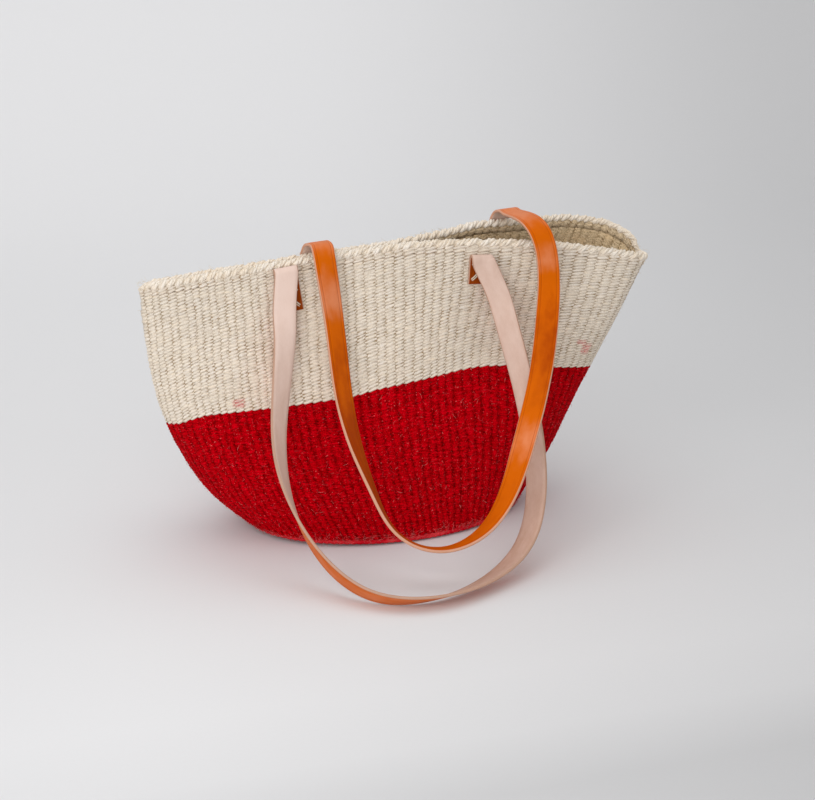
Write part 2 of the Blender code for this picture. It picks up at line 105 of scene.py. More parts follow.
mouth_hold_shares = np.array([0.0, 0.70, 1.0, 1.0, 1.0, 1.0, 1.0, 1.0,
                              1.0, 1.0, 1.0, 1.0, 0.8, 0.0])
mouth_open_shares = np.array([0.0, 0.0, 0.0, 0.0, 0.022, 0.139, 0.343, 0.504,
                              0.693, 0.912, 1.0, 0.898, 0.606, 0.0])
front_lip_station_shares = np.array([0.0, 0.03, 0.1, 0.25, 0.5, 0.75, 0.88, 0.95, 0.985, 1.0])
front_lip_shares = np.array([0.0, 0.25, 0.5, 0.85, 1.0, 1.0, 0.97, 0.88, 0.62, 0.0])
back_lift_share = 0.031
dent_place_share, dent_level_share = 0.70, 0.62
dent_width_share, dent_height_share = 0.13, 0.20
colour_station_shares = np.array([0.0, 0.024, 0.047, 0.082, 0.224, 0.365, 0.459, 0.75, 1.0])
colour_level_shares = np.array([0.486, 0.492, 0.504, 0.515, 0.517, 0.521, 0.539, 0.560, 0.552])
back_swell_station_shares = np.array([0.0, 0.58, 0.66, 0.72, 0.80, 0.86, 0.92, 0.96, 0.985, 0.994, 1.0])
back_swell_shares = np.array([0.0, 0.0, 0.012, 0.010, 0.010, 0.0172, 0.0215, 0.0285, 0.0270, 0.0150, 0.0])

# Loops of the straps: place as shares of (mouth_length, reach, basket_height), then the
# direction of the side that faces the viewer where the strap hangs.
front_loop_shares = (
    (-0.2225, -0.1473, 0.8350, -0.04, -0.96, 0.26),
    (-0.2276, -0.0892, 0.7440, 0.21, -0.95, 0.23),
    (-0.2460, 0.0191, 0.5600, 0.52, -0.83, 0.20),
    (-0.2583, 0.1577, 0.3808, 0.76, -0.58, 0.28),
    (-0.2440, 0.3548, 0.2165, 0.93, -0.09, 0.36),
    (-0.2045, 0.6076, 0.0920, 0.87, 0.29, 0.41),
    (-0.1370, 0.8889, 0.0340, 0.51, 0.56, 0.65),
    (-0.0339, 0.9848, 0.0300, -0.04, 0.51, 0.86),
    (0.0706, 0.8660, 0.0390, -0.26, 0.25, 0.93),
    (0.1583, 0.6723, 0.0973, -0.56, -0.11, 0.82),
    (0.2074, 0.4320, 0.2216, -0.71, -0.39, 0.59),
    (0.2215, 0.2153, 0.3818, -0.71, -0.61, 0.35),
    (0.2131, 0.0583, 0.5588, -0.63, -0.76, 0.20),
    (0.1926, -0.0531, 0.7400, -0.43, -0.88, 0.19),
    (0.1800, -0.1316, 0.8350, -0.20, -0.93, 0.28),
)
rear_loop_shares = (
    (-0.1466, -0.1887, 0.9715, 0.20, -0.92, 0.30),
    (-0.1384, -0.1179, 0.8234, 0.36, -0.91, 0.23),
    (-0.1350, -0.0038, 0.6780, 0.41, -0.86, 0.31),
    (-0.1327, 0.1499, 0.5378, 0.52, -0.76, 0.40),
    (-0.1237, 0.3509, 0.4065, 0.70, -0.54, 0.47),
    (-0.1061, 0.5765, 0.2835, 0.83, -0.28, 0.47),
    (-0.0757, 0.8047, 0.1698, 0.73, -0.01, 0.68),
    (-0.0057, 0.9792, 0.1268, 0.02, 0.27, 0.96),
    (0.0736, 0.9972, 0.1766, -0.57, 0.10, 0.82),
    (0.1303, 0.8679, 0.2784, -0.68, -0.28, 0.67),
    (0.1708, 0.6802, 0.3928, -0.57, -0.52, 0.63),
    (0.2082, 0.4756, 0.5065, -0.50, -0.60, 0.61),
    (0.2413, 0.2567, 0.6213, -0.46, -0.69, 0.55),
    (0.2665, 0.0453, 0.7436, -0.34, -0.80, 0.49),
    (0.2818, -0.1330, 0.8770, -0.04, -0.93, 0.36),
    (0.2752, -0.2264, 0.9880, -0.08, -0.66, 0.75),
    (0.2625, -0.4434, 1.0330, -0.05, -0.25, 0.97),
)

# Sewn ends: their places along the mouth, the levels of the front folds, each rear arch's
# rise over the rim and way forward, the stitches' half width and their place up the tab,
# and where the rear tabs bend
front_left_share, front_right_share = -0.2130, 0.1590
front_fold_share, front_right_fold_share = 0.966, 0.936
rear_left_share, rear_right_share = -0.1545, 0.2440
rear_arches = ((0.0100, 0.0165), (0.0145, 0.0175))
stitch_share = 0.42
stitch_hole_share = 0.92
stitch_place_share = 0.55
rear_tab_bend_share = 0.45
under_braid_share = 0.004
arch_angles = (0.35, 0.75, 1.15)
arch_start_angles = (0.0, 0.15, 0.30)
straight_up = np.array([0.0, 0.0, 1.0])
axis_over_strap = strap_thickness / 2 + axis_rise

# Route of a strap: the step from a fold to the loop's first point, the samples on a tab
# and on the loop, the samples that find its lowest edge, and those of the finished strap
fold_step = 0.0005
front_samples = (160, 900)
rear_samples = (190, 820)
floor_samples = 84
strap_samples = 760

# Lean of the front's ribs, the braid's middle as a share of its height, the powers of the
# wall's arch low down and at the mouth, and the level at which the colour line is read
rib_lean = 0.085
rim_centre_share = 0.36
low_arch_power = 1.3
mouth_arch_power = 1.8
colour_level = 0.53

# How the braid turns round the mouth's two ends: how far it comes in along X and down,
# over what share of the way round, and over how many samples its directions are averaged
left_end_ease = (-0.0026, 0.0024)
right_end_ease = (0.0028, 0.0004)
end_ease_share = 0.013
direction_window = 21

# Grid of one stitch, as places across a rib and up a row, how much higher the red weave
# stands, and the weave's unevenness: the ribs' widths, the stitches' fullness, and how
# far they rise, sway and drift
rib_fractions = np.array([0.0, 0.14, 0.38, 0.62, 0.86])
row_fractions = np.array([0.0, 0.33, 0.67])
red_relief_share = 1.25
rib_unevenness = 0.16
rib_seed = 5
stitch_fullness = (0.55, 1.25)
stitch_rise = 0.22
stitch_sway = 0.22
stitch_drift = 0.24

# Red marks on the natural wall: rib, row, width, height and colour
stray_red = (0.70, 0.16, 0.16)
stray_marks = ((66.5, 2.6, 0.9, 1.6, stray_red), (104.4, 9.3, 0.7, 1.0, stray_red),
               (105.2, 7.0, 0.8, 2.6, stray_red))

# The coarser row under the rim's plait: its top as a share of the braid, its thickness
# and its relief
rim_row_share = 0.48
rim_row_thickness = 0.0056
rim_row_relief = 0.0014

# The rim's plait: how deep its strands and its core lie in the braid, outwards and up,
# where a strand starts round the braid, how far it turns and how many ribs it passes
plait_inset = (0.0012, 0.0014)
core_inset = (0.0014, 0.0016)
plait_start = radians(-62)
plait_sweep = radians(300)
plait_ribs = 2.1
strand_steps = 19
strand_shift = 0.12
strand_size = (0.94, 1.08)
plait_seed = 21

# The plies of a strand: their number, radius, twist and throw sideways and outwards. The
# sideways throw leans over the braid: parts of it go round the section and along the rim.
ply_count = 3
ply_radius = 0.00145
ply_size = (0.8, 1.15)
ply_twist = (4.5, 7.5)
ply_aside = 0.0016
ply_away = 0.0008
aside_round = 0.77
aside_along = 0.64
braid_half_height = 0.0035
rib_width = 0.0095

# The woven base: rings from its middle line out, grid steps in one, columns and pairs of
# beads round, the middle line's length as a share, how far the edge reaches in and down
# from the ridge's middle, and the relief
base_rings = 24
base_ring_steps = 3
base_columns = 330
base_bead_pairs = 46
base_middle_share = 0.42
base_inset_share = 0.3
base_drop = 0.0012
base_relief = 0.0007

# Loose fibres: radius at each point, where they start over the wall, how far they lift,
# and their least heights over the floor
fibre_taper = np.array([0.00011, 0.00013, 0.00012, 0.00011, 0.00008, 0.00003])
fibre_start = 0.0004
fibre_lift = 0.0012
fibre_floor = 0.0005 + 0.0002 * np.arange(len(fibre_taper)) % 0.0005

# A strap's section: the pressed crease's distance from the edge, depth and half width,
# and the rounding of the cut edges
crease_inset = 0.0033
crease_depth = 0.00030
crease_half_width = 0.00045
edge_round = 0.0006

# Leather of the straps. The tones of a smooth side and the wear of a raw side go along it as (share of its
# length, value): tone 0 is brown, 0.5 tan and 1 pale. The pale tones are painted sheen, highlights of the
# light on the leather, and the brown at the front strap's ends is painted shade on its tabs. The raw side's
# darkening is handling stains together with painted shade on the front loop's bends.
sheen_and_scuff_leather = (0.72, 0.235, 0.10)
handled_and_shaded_leather = (0.44, 0.24, 0.15)
strap_looks = {
    "front": {
        # Deeper brown: painted shade on the front tabs, and the colour of the crease lines, borders and
        # pores.
        "brown": (0.27, 0.045, 0.003),
        "edge": ((0.56, 0.35, 0.26), (0.36, 0.19, 0.12)),
        # The stops at both ends are painted shade on the tabs under the folds.
        "tones": ((0.0, -0.1), (0.035, 0.0), (0.06, 0.5), (0.45, 0.75), (0.6, 0.7), (0.94, 0.5),
                  (0.965, 0.0), (1.0, -0.1)),
        # Handling stains, with painted shade darkest on the loop's lower right bend.
        "wear_and_shade": ((0.0, 0.2), (0.06, 0.0), (0.12, 0.05), (0.20, 0.28), (0.40, 0.42), (0.52, 0.62),
                 (0.64, 0.56), (0.74, 0.40), (0.84, 0.34), (0.92, 0.30), (1.0, 0.3)),
    },
    "rear": {
        "brown": (0.37, 0.046, 0.001),
        "edge": ((0.70, 0.38, 0.27), (0.44, 0.19, 0.08)),
        # The high stops are painted sheen on the rear strap's arches and legs; the low ones are a browner
        # tone.
        "tones": ((0.0, 0.4), (0.08, 0.9), (0.105, 0.5), (0.15, 1.0), (0.18, 0.4), (0.25, 0.22),
                  (0.30, 0.04), (0.38, 0.02), (0.45, 0.35), (0.58, 0.5), (0.615, 0.85),
                  (0.65, 0.42), (0.74, 0.14), (0.80, 0.5), (0.82, 0.85), (0.85, 0.52),
                  (0.89, 0.9), (0.93, 0.95), (1.0, 0.4)),
        "wear_and_shade": ((0.0, 0.2), (0.5, 0.2), (1.0, 0.2)),
    },
}

# Stage: the paper sweep's half width, front, foot, radius and height, its greys as (share of the way, grey)
# from a line in front of the basket, which are painted light and shade over the paper, the lamps as (name,
# place, aim, size, share of the key's power) and the point that the camera looks at
sweep_half_width = 4.0
sweep_front = -2.6
sweep_foot = 1.0
sweep_radius = 0.9
sweep_height = 2.6
sweep_light_tones = ((0.11, 0.64), (0.145, 0.75), (0.185, 0.79), (0.26, 0.785), (0.34, 0.775),
               (0.46, 0.78), (0.58, 0.80), (0.75, 0.84), (1.0, 0.86))
tones_ahead = 0.8
tones_length = 2.4
lamps = (
    ("key", (-1.2, -1.65, 1.0), (0.0, 0.0, 0.12), 2.0, 1.0),
    ("top", (0.0, 0.1, 2.2), (0.0, -0.05, 0.1), 2.2, 0.5),
)
camera_aim = (0.003, -0.067, 0.141)


# Basket surface

def unit(vectors, guard=0.0):
    """Vectors made one long. The guard keeps a vector of no length from dividing by zero."""
    return vectors / (np.linalg.norm(vectors, axis=-1, keepdims=True) + guard)


def full_turn(count):
    """Angles once round, evenly, without the last one that meets the first."""
    return np.linspace(0.0, 2 * pi, count, endpoint=False)


def ellipse_round(point, out, up, turn, half_out, half_up):
    """Points round a place: point + outwards x cos(turn) x half width + upwards x sin(turn)
    x half height."""
    return point + out * (np.cos(turn) * half_out)[..., None] + up * (np.sin(turn) * half_up)[..., None]


def smooth_between(places, values, wanted):
    """Monotone cubic through a table: each piece is the cubic whose end slopes are the
    harmonic means of the neighbouring chords' slopes."""
    step = np.diff(places)
    slope = np.diff(values) / step
    tangent = np.zeros(len(places))
    same = slope[:-1] * slope[1:] > 0
    first, second = 2 * step[1:] + step[:-1], step[1:] + 2 * step[:-1]
    before = np.where(same, slope[:-1], 1.0)
    after = np.where(same, slope[1:], 1.0)
    tangent[1:-1] = np.where(same, (first + second) / (first / before + second / after), 0.0)
    tangent[0], tangent[-1] = slope[0], slope[-1]
    wanted = np.asarray(wanted, float)
    k = np.clip(np.searchsorted(places, wanted) - 1, 0, len(step) - 1)
    s = np.clip((wanted - places[k]) / step[k], 0.0, 1.0)
    return ((2 * s**3 - 3 * s**2 + 1) * values[k] + (s**3 - 2 * s**2 + s) * step[k] * tangent[k]
            + (3 * s**2 - 2 * s**3) * values[k + 1] + (s**3 - s**2) * step[k] * tangent[k + 1])


def spline(places, values, wanted, end_bend=0.0):
    """Cubic spline through the values at the places. Its second derivatives solve the usual
    equations: each step times the bends beside it, plus twice both steps times its own,
    is six times the change of slope. Each end's bend is end_bend times its neighbour's."""
    n = len(places)
    h = np.diff(places)
    matrix = np.eye(n)
    inner = np.arange(1, n - 1)
    matrix[inner, inner - 1], matrix[inner, inner + 1] = h[:-1], h[1:]
    matrix[inner, inner] = 2 * (h[:-1] + h[1:])
    matrix[0, 1] = matrix[-1, -2] = -end_bend
    right = np.zeros_like(values, dtype=float)
    steps = np.diff(values, axis=0) / h.reshape(-1, *[1] * (values.ndim - 1))
    right[1:-1] = 6 * np.diff(steps, axis=0)
    bend = np.linalg.solve(matrix, right)
    k = np.clip(np.searchsorted(places, wanted) - 1, 0, n - 2)
    d, h = wanted - places[k], h[k]
    if values.ndim > 1:
        d, h = d[:, None], h[:, None]
    return (values[k] + d * ((values[k + 1] - values[k]) / h - h * (2 * bend[k] + bend[k + 1]) / 6)
            + d * d * bend[k] / 2 + d**3 * (bend[k + 1] - bend[k]) / (6 * h))


def level_curve(values, level):
    """Natural spline through the six levels of the wall."""
    return spline(level_shares, values, level)


def wall_point(angle, level):
    """Middle of the wall, a function of the angle round the basket (0 at its right end,
    pi at its left end, the front between pi and two pi) and the level from 0 to 1.
    X goes by the cosine between the two flared ends; Y is a bulge times the sine low
    down, which becomes the table of the mouth's lips near the rim; Z is an arch."""
    angle, level = np.broadcast_arrays(np.asarray(angle, float), np.asarray(level, float))
    side, away = np.cos(angle), np.sin(angle)
    along = (1 + side) / 2
    bulk = np.abs(away)
    left = base_length / 2 + (left_reach_share * mouth_length - base_length / 2) \
        * level_curve(left_flare_shares, level)
    right = base_length / 2 + ((1 - left_reach_share) * mouth_length - base_length / 2) \
        * level_curve(right_flare_shares, level)
    x = -left + (left + right) * along
    ends = base_depth * (level_curve(left_end_depth_shares, level) * (1 - along)
                         + level_curve(right_end_depth_shares, level) * along)
    mouth = np.clip(level_curve(mouth_shape_shares, level), 0.0, 1.0)
    lip = smooth_between(front_lip_station_shares, front_lip_shares, along)
    bulge = base_depth * level_curve(front_bulge_shares, level)
    front = ends - bulge * ((1 - mouth) * bulk + mouth * lip)
    dent = front_dent * np.exp(-((along - dent_place_share) / dent_width_share) ** 2) \
        * np.exp(-((level - dent_level_share) / dent_height_share) ** 2)
    closed = rim_thickness + 2 * sewn_gap
    hold = smooth_between(mouth_station_shares, mouth_hold_shares, along)
    opened = smooth_between(mouth_station_shares, mouth_open_shares, along)
    gap = closed * hold + (mouth_opening - closed) * opened
    low_back = ends + base_depth * level_curve(back_bulge_shares, level) * bulk
    back = low_back * (1 - mouth) + (ends - bulge * lip + gap) * mouth
    y = np.where(away < 0, front + dent, back)
    left_height = level_curve(left_height_shares, level)
    right_height = level_curve(right_height_shares, level)
    low = left_height * (1 - along) + right_height * along
    arch = (1 - mouth) * bulk**low_arch_power \
        + mouth * np.where(along < 0.5, 0.5 * bulk**2 + along, bulk**mouth_arch_power)
    lift = np.where(away < 0, 0.0, mouth * back_lift_share * opened)
    z = basket_height * (low + (level_curve(middle_height_shares, level)
                                - (left_height + right_height) / 2) * arch + lift)
    return np.stack([x, y, z], axis=-1)


def swollen_point(angle, level):
    """The wall point with the back of the mouth a few millimetres higher than its solid:
    height x mouth x table of the swell, on the back alone."""
    angle, level = np.broadcast_arrays(np.asarray(angle, float), np.asarray(level, float))
    mouth = np.clip(level_curve(mouth_shape_shares, level), 0.0, 1.0)
    swell = smooth_between(back_swell_station_shares, back_swell_shares, (1 + np.cos(angle)) / 2)
    point = wall_point(angle, level)
    point[..., 2] += basket_height * np.where(np.sin(angle) > 0, mouth * swell, 0.0)
    return point


def wall_frame(angle, level, surface=wall_point):
    """Point, outward and upward directions: the cross product of the steps round and up."""
    angle, level = np.broadcast_arrays(np.asarray(angle, float), np.asarray(level, float))
    step = 0.002
    point = surface(angle, level)
    round_way = surface(angle + step, level) - surface(angle - step, level)
    up = surface(angle, np.minimum(level + step, 1.0)) - surface(angle, np.maximum(level - step, 0.0))
    return point, unit(np.cross(round_way, up)), unit(up)


def wall_slant():
    """Length of wall for one whole level, at the ridge and at the rim: the shortest of the
    lengths of a small step all round, over that step."""
    angle, step = full_turn(320), 0.03
    foot = wall_point(angle, step) - wall_point(angle, 0.0)
    lip = wall_point(angle, 1.0) - wall_point(angle, 1.0 - step)
    return [np.linalg.norm(way, axis=-1).min() / step for way in (foot, lip)]


def angle_at(x, level, behind=False):
    """Angle of the wall point that has this x, on the front or on the back."""
    angle = np.linspace(pi, 0.0 if behind else 2 * pi, 721)
    return float(np.interp(x, wall_point(angle, level)[:, 0], angle))


low_slant, high_slant = wall_slant()
braid_share = rim_height / high_slant
foot_share = ridge_diameter / 3 / low_slant


class RibTable:
    """Where the upright ribs stand: angles for shares of the way round, by level.

    On each half of the ring the shares are spread by arc length at that level, so the
    ribs fan out with the wall. The front's ribs lean towards its left end as they rise:
    share = share - rib_lean x level x sin(pi x share)."""

    count = 48
    samples = 481

    def __init__(self):
        levels = np.linspace(0.0, 1.0, self.count + 1)[:, None]
        tables = []
        for start in (0.0, pi):
            angle = np.linspace(start, start + pi, self.samples)[None, :]
            point = wall_point(angle, levels)
            step = np.linalg.norm(np.diff(point, axis=1), axis=-1)
            way = np.concatenate([np.zeros((self.count + 1, 1)), np.cumsum(step, axis=1)], axis=1)
            tables.append((angle[0], way / way[:, -1:]))
        self.tables = tables

    def angles(self, share, level):
        """Angle for each share, from 0 to 1 round the basket, at each level."""
        share, level = np.broadcast_arrays(np.asarray(share, float) % 1.0, np.asarray(level, float))
        place = np.clip(level, 0.0, 1.0) * self.count
        low = np.minimum(place.astype(int), self.count - 1)
        part = place - low
        result = np.zeros(share.shape)
        for row in range(self.count + 1):
            weight = np.where(low == row, 1 - part, 0.0) + np.where(low + 1 == row, part, 0.0)
            used = weight > 0
            if not used.any():
                continue
            half = share[used] * 2
            back = np.interp(half, self.tables[0][1][row], self.tables[0][0])
            leant = half - 1 - rib_lean * place[used] / self.count * np.sin(pi * (half - 1))
            front = np.interp(leant, self.tables[1][1][row], self.tables[1][0])
            result[used] += weight[used] * np.where(half < 1, back, front)
        return result


ribs_table = RibTable()


class RimTable:
    """Frames along the braid by share round. The outward directions are averaged over a
    few millimetres, so that the braid turns round the mouth's two sharp ends, where it
    also comes in and down by a smooth step of the distance to the end."""

    count = 1320

    def __init__(self, level):
        self.share = np.arange(self.count) / self.count
        point, out, up = wall_frame(ribs_table.angles(self.share, level), level, swollen_point)
        weights = np.hanning(direction_window)[1:-1]
        reach = len(weights) // 2
        around = (np.arange(self.count)[:, None] + np.arange(-reach, reach + 1)) % self.count
        smooth = [np.einsum("ijk,j->ik", values[around], weights / weights.sum()) for values in (out, up)]
        near = 1 - np.minimum(np.abs((self.share * 2 + 0.5) % 1.0 - 0.5) / 2 / end_ease_share, 1.0)
        ease = near**2 * (3 - 2 * near)
        pull, drop = np.where(point[:, :1] < 0, left_end_ease, right_end_ease).T
        self.point = point - np.stack([pull, 0 * pull, drop], axis=1) * ease[:, None]
        self.out, self.up = [unit(values) for values in smooth]

    def at(self, share):
        """Point, outward and upward directions for each share, by straight interpolation."""
        place = (share % 1.0) * self.count
        low = place.astype(int) % self.count
        part = (place - np.floor(place))[..., None]
        return [values[low] * (1 - part) + values[(low + 1) % self.count] * part
                for values in (self.point, self.out, self.up)]


rim_table = RimTable(1 - braid_share * rim_centre_share)


def colour_line(share):
    """Level of the line between the red and the natural sisal for each share round."""
    angle = ribs_table.angles(share, colour_level)
    return smooth_between(colour_station_shares, colour_level_shares, (1 + np.cos(angle)) / 2)


# Meshes from whole arrays

def grid_faces(rows, columns, wrap_rows, wrap_columns):
    """Quads of a grid, closed either way where asked, with the grid steps of each corner."""
    i = np.arange(rows if wrap_rows else rows - 1)[:, None]
    j = np.arange(columns if wrap_columns else columns - 1)[None, :]
    steps_i = np.stack(np.broadcast_arrays(i, i, i + 1, i + 1), -1) + 0 * j[..., None]
    steps_j = np.stack(np.broadcast_arrays(j, j + 1, j + 1, j), -1) + 0 * i[..., None]
    quads = (steps_i % rows) * columns + steps_j % columns
    return quads.reshape(-1, 4), steps_i.reshape(-1, 4), steps_j.reshape(-1, 4)


def volume_of(points, faces):
    """Six times the enclosed volume: the sum of the triangle fans' triple products."""
    total = 0.0
    for k in range(1, faces.shape[1] - 1):
        a, b, c = points[faces[:, 0]], points[faces[:, k]], points[faces[:, k + 1]]
        total += float(np.einsum("ij,ij->i", a, np.cross(b, c)).sum())
    return total


def add_mesh(name, points, quads, quad_uv=None, caps=None, cap_uv=None, slots=None):
    """Object from arrays of points, quads and closing faces, its faces turned outwards."""
    points = np.asarray(points, float).reshape(-1, 3)
    caps = np.zeros((0, 3), int) if caps is None else caps
    size = volume_of(points, quads) + (volume_of(points, caps) if len(caps) else 0.0)
    if size < 0:
        quads = quads[:, ::-1]
        caps = caps[:, ::-1]
        quad_uv = None if quad_uv is None else quad_uv[:, ::-1]
        cap_uv = None if cap_uv is None else cap_uv[:, ::-1]
    mesh = bpy.data.meshes.new(name)
    loops = np.concatenate([quads.ravel(), caps.ravel()]).astype(np.int32)
    totals = np.concatenate([np.full(len(quads), 4), np.full(len(caps), caps.shape[1])]).astype(np.int32)
    mesh.vertices.add(len(points))
    mesh.vertices.foreach_set("co", points.astype(np.float32).ravel())
    mesh.loops.add(len(loops))
    mesh.loops.foreach_set("vertex_index", loops)
    mesh.polygons.add(len(totals))
    mesh.polygons.foreach_set("loop_start", (np.cumsum(totals) - totals).astype(np.int32))
    mesh.polygons.foreach_set("use_smooth", np.ones(len(totals), bool))
    if slots is not None:
        mesh.polygons.foreach_set("material_index", np.asarray(slots, np.int32))
    mesh.update(calc_edges=True)
    if quad_uv is not None:
        layer = mesh.uv_layers.new(name="weave")
        values = quad_uv.reshape(-1, 2)
        if len(caps):
            extra = np.zeros((caps.size, 2)) if cap_uv is None else cap_uv.reshape(-1, 2)
            values = np.concatenate([values, extra])
        layer.data.foreach_set("uv", values.astype(np.float32).ravel())
    mesh.validate()
    item = bpy.data.objects.new(name, mesh)
    bpy.context.scene.collection.objects.link(item)
    return item


def add_tubes(name, paths, across, widths, heights, sides):
    """Many closed tubes at once. Each path is a row of points; a tube's section is an
    ellipse of the given half width along `across` and half height at right angles to it.
    The UV is (tube's number + turn, length): 0.98 keeps a turn inside its tube's number."""
    paths = np.asarray(paths, float)
    number, length = paths.shape[:2]
    along = unit(np.gradient(paths, axis=1), 1e-12)
    side = unit(across - along * np.sum(across * along, axis=-1)[..., None], 1e-12)
    lift = np.cross(along, side)
    ring = ellipse_round(paths[:, :, None], side[:, :, None], lift[:, :, None], full_turn(sides),
                         np.asarray(widths)[..., None], np.asarray(heights)[..., None])
    quads, step_i, step_j = grid_faces(length, sides, False, True)
    first = (np.arange(number) * length * sides)[:, None, None]
    all_quads = (quads[None] + first).reshape(-1, 4)
    way = np.concatenate([np.zeros((number, 1)),
                          np.cumsum(np.linalg.norm(np.diff(paths, axis=1), axis=-1), axis=1)], axis=1)
    tube = np.broadcast_to(np.arange(number)[:, None, None], (number, *step_i.shape))
    u = tube + step_j[None] / sides * 0.98
    v = np.take_along_axis(way, np.broadcast_to(step_i.reshape(1, -1), (number, step_i.size)), axis=1)
    uv = np.stack([u.reshape(number, -1), v], axis=-1).reshape(-1, 4, 2)
    start = np.arange(sides)[::-1][None, :] + first[:, 0]
    end = np.arange(sides)[None, :] + (length - 1) * sides + first[:, 0]
    return add_mesh(name, ring, all_quads, uv, np.concatenate([start, end]))


def place_on(item, body, material, slot_name, *nodes):
    """Gives a finished piece its materials and its body, and hides the solids that it stands for."""
    for entry in material if isinstance(material, (list, tuple)) else [material]:
        item.data.materials.append(entry)
    if body is not None:
        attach(item, body)
    if nodes:
        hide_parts(*nodes)


# Weave

def rib_borders(count):
    """Shares of the way round where two ribs meet: the running sum of uneven widths, scaled
    to fit."""
    widths = 1 + rib_unevenness * np.random.default_rng(rib_seed).uniform(-1, 1, count)
    borders = np.concatenate([[0.0], np.cumsum(widths)])
    return borders / borders[-1]


def wander(u, v, seed):
    """Slow unevenness of a hand weave: a sum of sine waves of random heading and phase."""
    rng = np.random.default_rng(seed)
    total = 0.0
    for k in range(5):
        p, q, r = rng.uniform(0.05, 0.55), rng.uniform(0.02, 0.25), rng.uniform(0, 2 * pi)
        total = total + np.sin(p * u + q * v * (-1) ** k + r)
    return total / 5


def woven_band(name, low, high, rows, ribs, relief, slant, seed, thick=wall_thickness, rib_share=0.22):
    """Closed band of twined weave between two level functions of the share round.

    Outside, height = relief x (rib_share x rib - 0.5 + (1 - rib_share) x stitch x fullness
    x (0.6 + 0.4 x rib)), plus a slow wandering of 0.3 x relief: rib is a rounded hump
    across each upright rib and stitch one up each row. The stitches of a rib lean by
    `slant` rows, and each has its own fullness, width and height. Inside, the same ribs
    run smoother with coarser rows."""
    borders = rib_borders(ribs)
    rib = np.repeat(np.arange(ribs), len(rib_fractions))
    part = np.tile(rib_fractions, ribs)
    share = borders[rib] + (borders[rib + 1] - borders[rib]) * part
    u = np.append(rib + part, ribs)
    hump = np.clip(np.sin(pi * part), 0, 1)
    lean = np.where(part > 0, slant * (part - 0.5), 0.0)
    row = np.append(np.repeat(np.arange(rows), len(row_fractions)), rows)
    in_row = np.append(np.tile(row_fractions, rows), 0.0)
    step = row + in_row
    stitch = np.clip(np.sin(pi * in_row), 0, 1) ** 0.7
    v = step[:, None] + lean[None, :]
    rng = np.random.default_rng(seed)
    size = rng.uniform(*stitch_fullness, (rows + 1, ribs))[np.minimum(row, rows)][:, rib]
    rise = rng.uniform(-stitch_rise, stitch_rise, (rows + 2, ribs))
    rise = (rise[row] * (1 - in_row[:, None]) + rise[row + 1] * in_row[:, None])[:, rib]
    fade = np.sin(pi * np.clip(v / rows, 0, 1)) ** 0.3
    sway = (stitch_sway * wander(rib[None, :] + part, v, seed + 1) + rise) * fade
    drift = rng.uniform(-1, 1, (rows + 5, ribs + 1))
    drift = (drift[:-4] + drift[1:-3] + drift[2:-2] + drift[3:-1]) / 4
    drift = drift[row][:, rib] * (1 - part) + drift[row][:, (rib + 1) % ribs] * part
    drift = stitch_drift / ribs * drift * np.minimum(fade, 1.0)
    bottom, top = low(share)[None, :], high(share)[None, :]
    level = bottom + (top - bottom) * (v + sway) / rows
    angle = ribs_table.angles(share[None, :] + drift, level)
    point, out = wall_frame(angle, level, swollen_point)[:2]
    height = relief * (rib_share * hump[None, :] - 0.5
                       + (1 - rib_share) * stitch[:, None] * size * (0.6 + 0.4 * hump[None, :]))
    height = height + relief * 0.3 * wander(u[None, :-1] * 0.7, v, seed + 2)
    outside = point + out * (thick / 2 + height)[..., None]
    steps = np.linspace(rows, 0, max(rows // 2, 1) + 1)[:, None] + 0 * u[None, :-1]
    level = bottom + (top - bottom) * steps / rows
    angle = ribs_table.angles(np.broadcast_to(share, level.shape), level)
    point, out = wall_frame(angle, level, swollen_point)[:2]
    inside = point - out * (thick / 2 + relief * 0.8 * (hump[None, :] - 0.6))[..., None]
    rings = np.concatenate([outside, inside])
    quads, step_i, step_j = grid_faces(len(rings), len(share), True, True)
    all_v = np.concatenate([v, steps, v[:1]])
    all_v = np.concatenate([all_v, all_v[:, :1]], axis=1)
    uv = np.stack([u[step_j], all_v[step_i, step_j]], axis=-1)
    return add_mesh(name, rings, quads, uv, slots=step_i[:, 0] >= len(outside))


def flat_level(value):
    """One level all round, as a function of the share."""
    return lambda share: np.full(np.shape(share), value)


def foot_ridge(ribs):
    """The twisted cord round the foot: half the ridge x (0.80 + 0.22 x |cos(turn - pi x
    rib)|^0.8) round the wall's foot, so its two strands cross once in two ribs."""
    steps, sides = 6, 14
    columns = ribs * steps
    u = np.arange(columns + 1) / steps
    share = u[:-1] / ribs
    turn = full_turn(sides)[:, None]
    point, out, up = wall_frame(ribs_table.angles(share, 0.0 * share), 0.0 * share)
    lobes = 0.80 + 0.22 * np.abs(np.cos(turn - pi * u[None, :-1])) ** 0.8
    lobes = lobes * (1 + 0.05 * wander(u[None, :-1] * 3, turn, 31))
    radius = ridge_diameter / 2 * lobes
    rings = ellipse_round(point, out, up, turn, radius, radius)
    quads, step_i, step_j = grid_faces(sides, columns, True, True)
    uv = np.stack([u[step_j] + step_i / sides, step_i / sides + 0 * step_j], axis=-1)
    return add_mesh("foot_ridge", rings, quads, uv)


